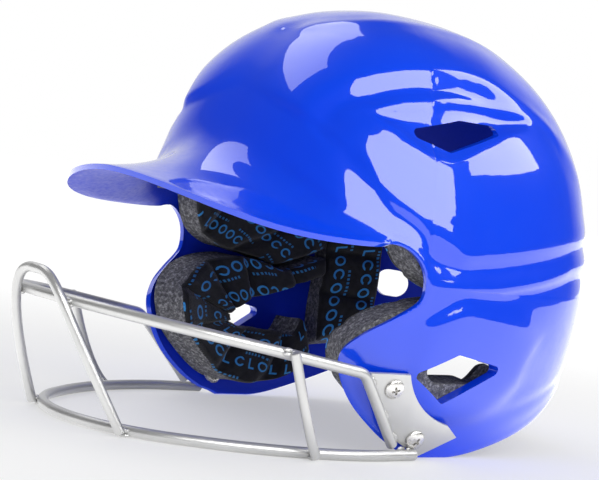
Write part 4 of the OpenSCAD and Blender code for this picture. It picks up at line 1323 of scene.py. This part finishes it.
def plateOutline():
    edge = np.array(edgeFoot) - np.array(edgeTop)
    along = edge / np.linalg.norm(edge)
    back = np.array([-along[1], along[0]]) * (loopR + touch)
    a = onPlate(*(np.array(edgeTop) + back + along * plateShape["topLap"]))
    b = onPlate(*(np.array(edgeFoot) + back))
    heel, tip, rear = (onPlate(*plateShape[k]) for k in ("heel", "tip", "rear"))
    centre, radius = onPlate(*plateScoop["centre"]), plateScoop["radius"]
    # The rear edge follows the scooped circle between its two crossings

    def crossing(p, q):
        d = q - p
        r = p - centre
        aa, bb, cc = d @ d, 2 * r @ d, r @ r - radius ** 2
        root = math.sqrt(max(0, bb * bb - 4 * aa * cc))
        roots = [t for t in ((-bb - root) / (2 * aa), (-bb + root) / (2 * aa)) if 0 <= t <= 1]
        return [p + d * t for t in roots]

    low = crossing(heel, tip) or crossing(tip, rear)
    high = crossing(rear, a) or crossing(tip, rear)
    start, end = low[0], high[-1]
    q0 = math.atan2(*(start - centre)[::-1])
    q1 = math.atan2(*(end - centre)[::-1])
    if q1 > q0:
        q0 += 2 * math.pi
    if q0 - q1 > math.pi:
        q0, q1 = q0 - 2 * math.pi, q1
    arc = [centre + radius * np.array([math.cos(q), math.sin(q)]) for q in np.linspace(q0, q1, 28)]
    points = [a, b, heel]
    if np.linalg.norm(start - heel) > 0.3 and not crossing(heel, tip):
        points.append(tip)
    return points + arc


def makePlate(side):
    outline = plateOutline()
    bm = bmesh.new()

    def vert(u, v, h):
        p = offPlate(u, v, h)
        if side == "right":
            p = p * np.array([-1, 1, 1])
        return bm.verts.new(toMetres(p))

    low = [vert(u, v, 0) for u, v in outline]
    high = [vert(u, v, plateShape["thick"]) for u, v in outline]
    bm.faces.new(high)
    bm.faces.new(list(reversed(low)))
    n = len(outline)
    for i in range(n):
        bm.faces.new((low[i], low[(i + 1) % n], high[(i + 1) % n], high[i]))
    bmesh.ops.recalc_face_normals(bm, faces=bm.faces)
    edges = [e for e in bm.edges if len(e.link_faces) == 2 and e.calc_face_angle(0) > math.radians(50)]
    bmesh.ops.bevel(bm, geom=edges, offset=plateShape["bevel"], segments=2, profile=0.5, affect="EDGES",
                    clamp_overlap=True)
    bmesh.ops.triangulate(bm, faces=[f for f in bm.faces if len(f.verts) > 4])
    mesh = bpy.data.meshes.new("plate" + side.title())
    bm.to_mesh(mesh)
    bm.free()
    obj = addObject(mesh.name, mesh)
    smooth(obj, 30)
    dress(obj, "guardSilver", "guard_wire", "guard_plate_" + side)


# Points of a profile of radius, height turned about the screw's axis
def lathe(profile, sides=48):
    return np.concatenate([np.column_stack([circle(0, 0, r, sides), np.full(sides, h)]) for r, h in profile])


flapDepth = 6.8
screwShape = dict(shank=2.5, head=5.0, height=2.6, dome=9.0, slotHalf=(2.5, 0.62), slotDepth=1.6, slotTaper=0.72)


def makeScrews(side):
    s = screwShape
    # Heights from the flap; the plate lies under the head
    base = plateShape["thick"] + s["height"] - s["dome"]
    profile = [(s["shank"], h) for h in (-flapDepth - 1.0, -flapDepth - 0.6, 0.5, 2.02)]
    rim = base + math.sqrt(s["dome"] ** 2 - s["head"] ** 2) - 0.2
    profile += [(s["head"] - 0.35, 2.02), (s["head"], 2.3), (s["head"], rim)]
    for r in s["head"] * np.linspace(0.97, 0.06, 14):
        profile.append((r, base + math.sqrt(s["dome"] ** 2 - r ** 2)))
    body = np.concatenate([lathe(profile), [(0, 0, profile[0][1]), (0, 0, profile[-1][1])]])
    objs = []
    for index, spot in enumerate(screwSpots):
        u0, v0 = onPlate(*spot)
        turn = 0.35 + index * 0.6

        def place(p):
            w = [offPlate(u0 + x * math.cos(turn) - y * math.sin(turn),
                          v0 + x * math.sin(turn) + y * math.cos(turn), h) for x, y, h in p]
            w = np.array(w)
            return mirrorX(w) if side == "right" else w

        obj = addMesh("screwPart", place(body), ringFaces(len(profile), 48, ends=True))
        fixNormals(obj)
        # Cross recess, wide at the top and tapering to its floor
        top = plateShape["thick"] + s["height"]
        for crossed in (False, True):
            box = []
            for h, size in ((top + 0.6, 1.0), (top - s["slotDepth"], s["slotTaper"])):
                for x, y in ((-1, -1), (1, -1), (1, 1), (-1, 1)):
                    x, y = x * s["slotHalf"][0] * size, y * s["slotHalf"][1] * size
                    box.append((-y, x, h) if crossed else (x, y, h))
            faces = [(0, 1, 2, 3), (7, 6, 5, 4), (0, 4, 5, 1), (1, 5, 6, 2), (2, 6, 7, 3), (3, 7, 4, 0)]
            cutter = addMesh("slotCut", place(np.array(box)), faces)
            fixNormals(cutter)
            applyModifier(obj, "BOOLEAN", operation="DIFFERENCE", solver="EXACT", object=cutter)
            bpy.data.objects.remove(cutter)
        objs.append(obj)
    select(objs[0])
    objs[1].select_set(True)
    bpy.ops.object.join()
    obj = objs[0]
    obj.name = "screws" + side.title()
    smooth(obj, 35)
    dress(obj, "zincSteel", "hardware", "guard_screws_" + side)


def makeNuts(side):
    profile = [(2.58, 3.0), (3.15, 3.0), (3.4, 2.75), (3.4, 0.15), (3.6, 0.0), (6.6, 0.0), (7.0, -0.35),
               (7.0, -0.9), (6.2, -1.45), (4.2, -1.6), (2.75, -1.6), (2.58, -1.4)]
    parts = []
    faces = ringFaces(len(profile), 48, loop=True)
    for spot in screwSpots:
        u0, v0 = onPlate(*spot)
        points = lathe(profile)
        # Shallow notches round the flange, one in eight
        away = np.hypot(points[:, 0], points[:, 1])
        notch = np.where((away > 6) & (np.arange(len(points)) % 48 % 8 < 2), 1 - 0.25 / away, 1.0)
        parts.append(([offPlate(u0 + u * n, v0 + v * n, h - flapDepth) for (u, v, h), n in zip(points, notch)], faces))
    points, faces = joinMeshes(parts)
    obj = addMesh("nuts" + side.title(), mirrorX(points) if side == "right" else points, faces)
    finish(obj, 35, "zincSteel", "hardware", "guard_nuts_" + side)


for guardSide in ("left", "right"):
    makePlate(guardSide)
    makeScrews(guardSide)
    makeNuts(guardSide)


# Beads between the upper loop's end and the front edge of each plate, and by the lower loop
def makePlateWelds():
    parts = []
    edge = np.array(edgeFoot) - np.array(edgeTop)
    run = edge / np.linalg.norm(edge)
    back = np.array([-run[1], run[0]])
    for share in (0.16, 0.62, 0.93):
        y, z = np.array(edgeTop) + edge * share + back * 2.4
        p = flapPoint(y, z, 2.3)
        along = unit(flapPoint(*(np.array((y, z)) + run), 2.3) - p)
        parts.append(weld(p, along, unit(np.cross(plateNormal, along)), (3.2, 1.5, 0.9), 20 + len(parts)))
    for y in (-24.0, -19.0):
        p = np.array([planeX(y, 5.0, 2.6), y, 5.0])
        parts.append(weld(p, (0, 1, 0.05), plateUp, (2.6, 1.4, 0.9), 20 + len(parts)))
    addWelds("plateWelds", parts)


makePlateWelds()
print("guard made")


# Studio: white floor and backdrop, two softboxes to the wearer's left and one to the right
def lightMaterial(name, glossy, other):
    m = Shader(name)
    m.tree.nodes.clear()
    emit = m.node("ShaderNodeEmission")
    m.put(emit.inputs["Strength"], m.choose(m.rays("Is Glossy Ray"), other, glossy))
    m.put(m.node("ShaderNodeOutputMaterial").inputs["Surface"], emit.outputs[0])
    return m.material


def direction(az, el):
    az, el = math.radians(az), math.radians(el)
    return Vector((math.sin(az) * math.cos(el), -math.cos(az) * math.cos(el), math.sin(el)))


# Curved light panel between two azimuths and two elevations, seen from the helmet
def softbox(name, az0, az1, el0, el1, reach, glossy, other):
    centre = Vector((0, 0, 0.12))
    cols, rows = 12, 6
    points = [centre + direction(mix(az0, az1, j / cols), mix(el0, el1, i / rows)) * reach
              for i in range(rows + 1) for j in range(cols + 1)]
    mesh = bpy.data.meshes.new(name)
    mesh.from_pydata([tuple(p) for p in points], [], sheetFaces(rows + 1, cols + 1, flip=True))
    obj = addObject(name, mesh)
    mesh.materials.append(lightMaterial(name, glossy, other))
    obj.visible_camera = False


studio = dict(
    sideNear=(52, 121, 12, 43, 1.6, 7.0, 2.5),
    sideFar=(131, 157, 21, 46, 1.6, 6.5, 2.3),
    high=(-118, -40, 42, 64, 1.8, 2.6, 2.2),
)
for lightName, values in studio.items():
    softbox(lightName, *values)


floorLook = dict(radius=9, drop=0.0002, white=0.9, nearGlow=0.4, glow=1.05, mirroredGlow=1.9,
                 glowFrom=0.24, glowTo=0.8, mirroredFrom=0.09, mirroredTo=0.17)


# The floor keeps the shadow near the helmet and glows white further out
def makeFloor():
    mesh = bpy.data.meshes.new("floor")
    sides = 64
    points = [(x, y, -floorLook["drop"]) for x, y in circle(0, 0, floorLook["radius"], sides)]
    mesh.from_pydata(points, [], [tuple(range(sides))])
    floor = addObject("floor", mesh)
    m = Shader("floorWhite")
    white = floorLook["white"]
    m.set(Base_Color=(white, white, white, 1), Roughness=0.6, Specular_IOR_Level=0.2)
    away = m.node("ShaderNodeVectorMath", operation="LENGTH")
    m.put(away.inputs[0], m.coords())
    reach = away.outputs["Value"]
    far = m.span(reach, floorLook["glowFrom"], floorLook["glowTo"], 0.0, 1.0, "SMOOTHSTEP")
    seen = m.choose(far, floorLook["nearGlow"], 1.0)
    mirrored = m.span(reach, floorLook["mirroredFrom"], floorLook["mirroredTo"], 0.0, 1.0, "SMOOTHSTEP")
    glossy = m.rays("Is Glossy Ray")
    emit = m.node("ShaderNodeEmission")
    m.put(emit.inputs["Strength"], m.choose(glossy, floorLook["glow"], floorLook["mirroredGlow"]))
    blend = m.node("ShaderNodeMixShader")
    m.put(blend.inputs[0], m.choose(glossy, seen, mirrored))
    m.put(blend.inputs[1], m.surface.outputs[0])
    m.put(blend.inputs[2], emit.outputs[0])
    m.put(m.tree.nodes["Material Output"].inputs["Surface"], blend.outputs[0])
    mesh.materials.append(m.material)


makeFloor()

backdrop = dict(azimuth=-128, halfWidth=(52, 30), top=(46, 26), strength=0.85, ambient=0.62, glossyAmbient=0.05)


# White background for the camera, a pale backdrop in reflections and even light from all round
def makeWorld():
    world = bpy.data.worlds.new("studio")
    bpy.context.scene.world = world
    world.use_nodes = True
    m = Nodes(world.node_tree)
    m.tree.nodes.clear()
    toSky = m.coords("Generated")
    height = m.separate(toSky)[2]
    flat = m.node("ShaderNodeVectorMath", operation="MULTIPLY")
    m.put(flat.inputs[0], toSky)
    m.put(flat.inputs[1], (1, 1, 0))
    level = m.node("ShaderNodeVectorMath", operation="NORMALIZE")
    m.put(level.inputs[0], flat.outputs[0])
    facing = m.node("ShaderNodeVectorMath", operation="DOT_PRODUCT")
    m.put(facing.inputs[0], level.outputs[0])
    m.put(facing.inputs[1], tuple(direction(backdrop["azimuth"], 0)))
    edge, core = (math.cos(math.radians(q)) for q in backdrop["halfWidth"])
    top, full = (math.sin(math.radians(q)) for q in backdrop["top"])
    mask = m.math("MULTIPLY", m.span(facing.outputs["Value"], edge, core, 0.0, 1.0),
                  m.span(height, top, full, 0.0, 1.0))
    ambient = m.choose(m.rays("Is Glossy Ray"), backdrop["ambient"], backdrop["glossyAmbient"])
    glow = m.choose(mask, ambient, backdrop["strength"])
    background = m.node("ShaderNodeBackground")
    m.put(background.inputs["Color"], (1, 1, 1, 1))
    m.put(background.inputs["Strength"], m.choose(m.rays("Is Camera Ray"), glow, 1.0))
    m.put(m.node("ShaderNodeOutputWorld").inputs["Surface"], background.outputs[0])


makeWorld()
bpy.context.scene.view_settings.view_transform = "Standard"
print("studio made")
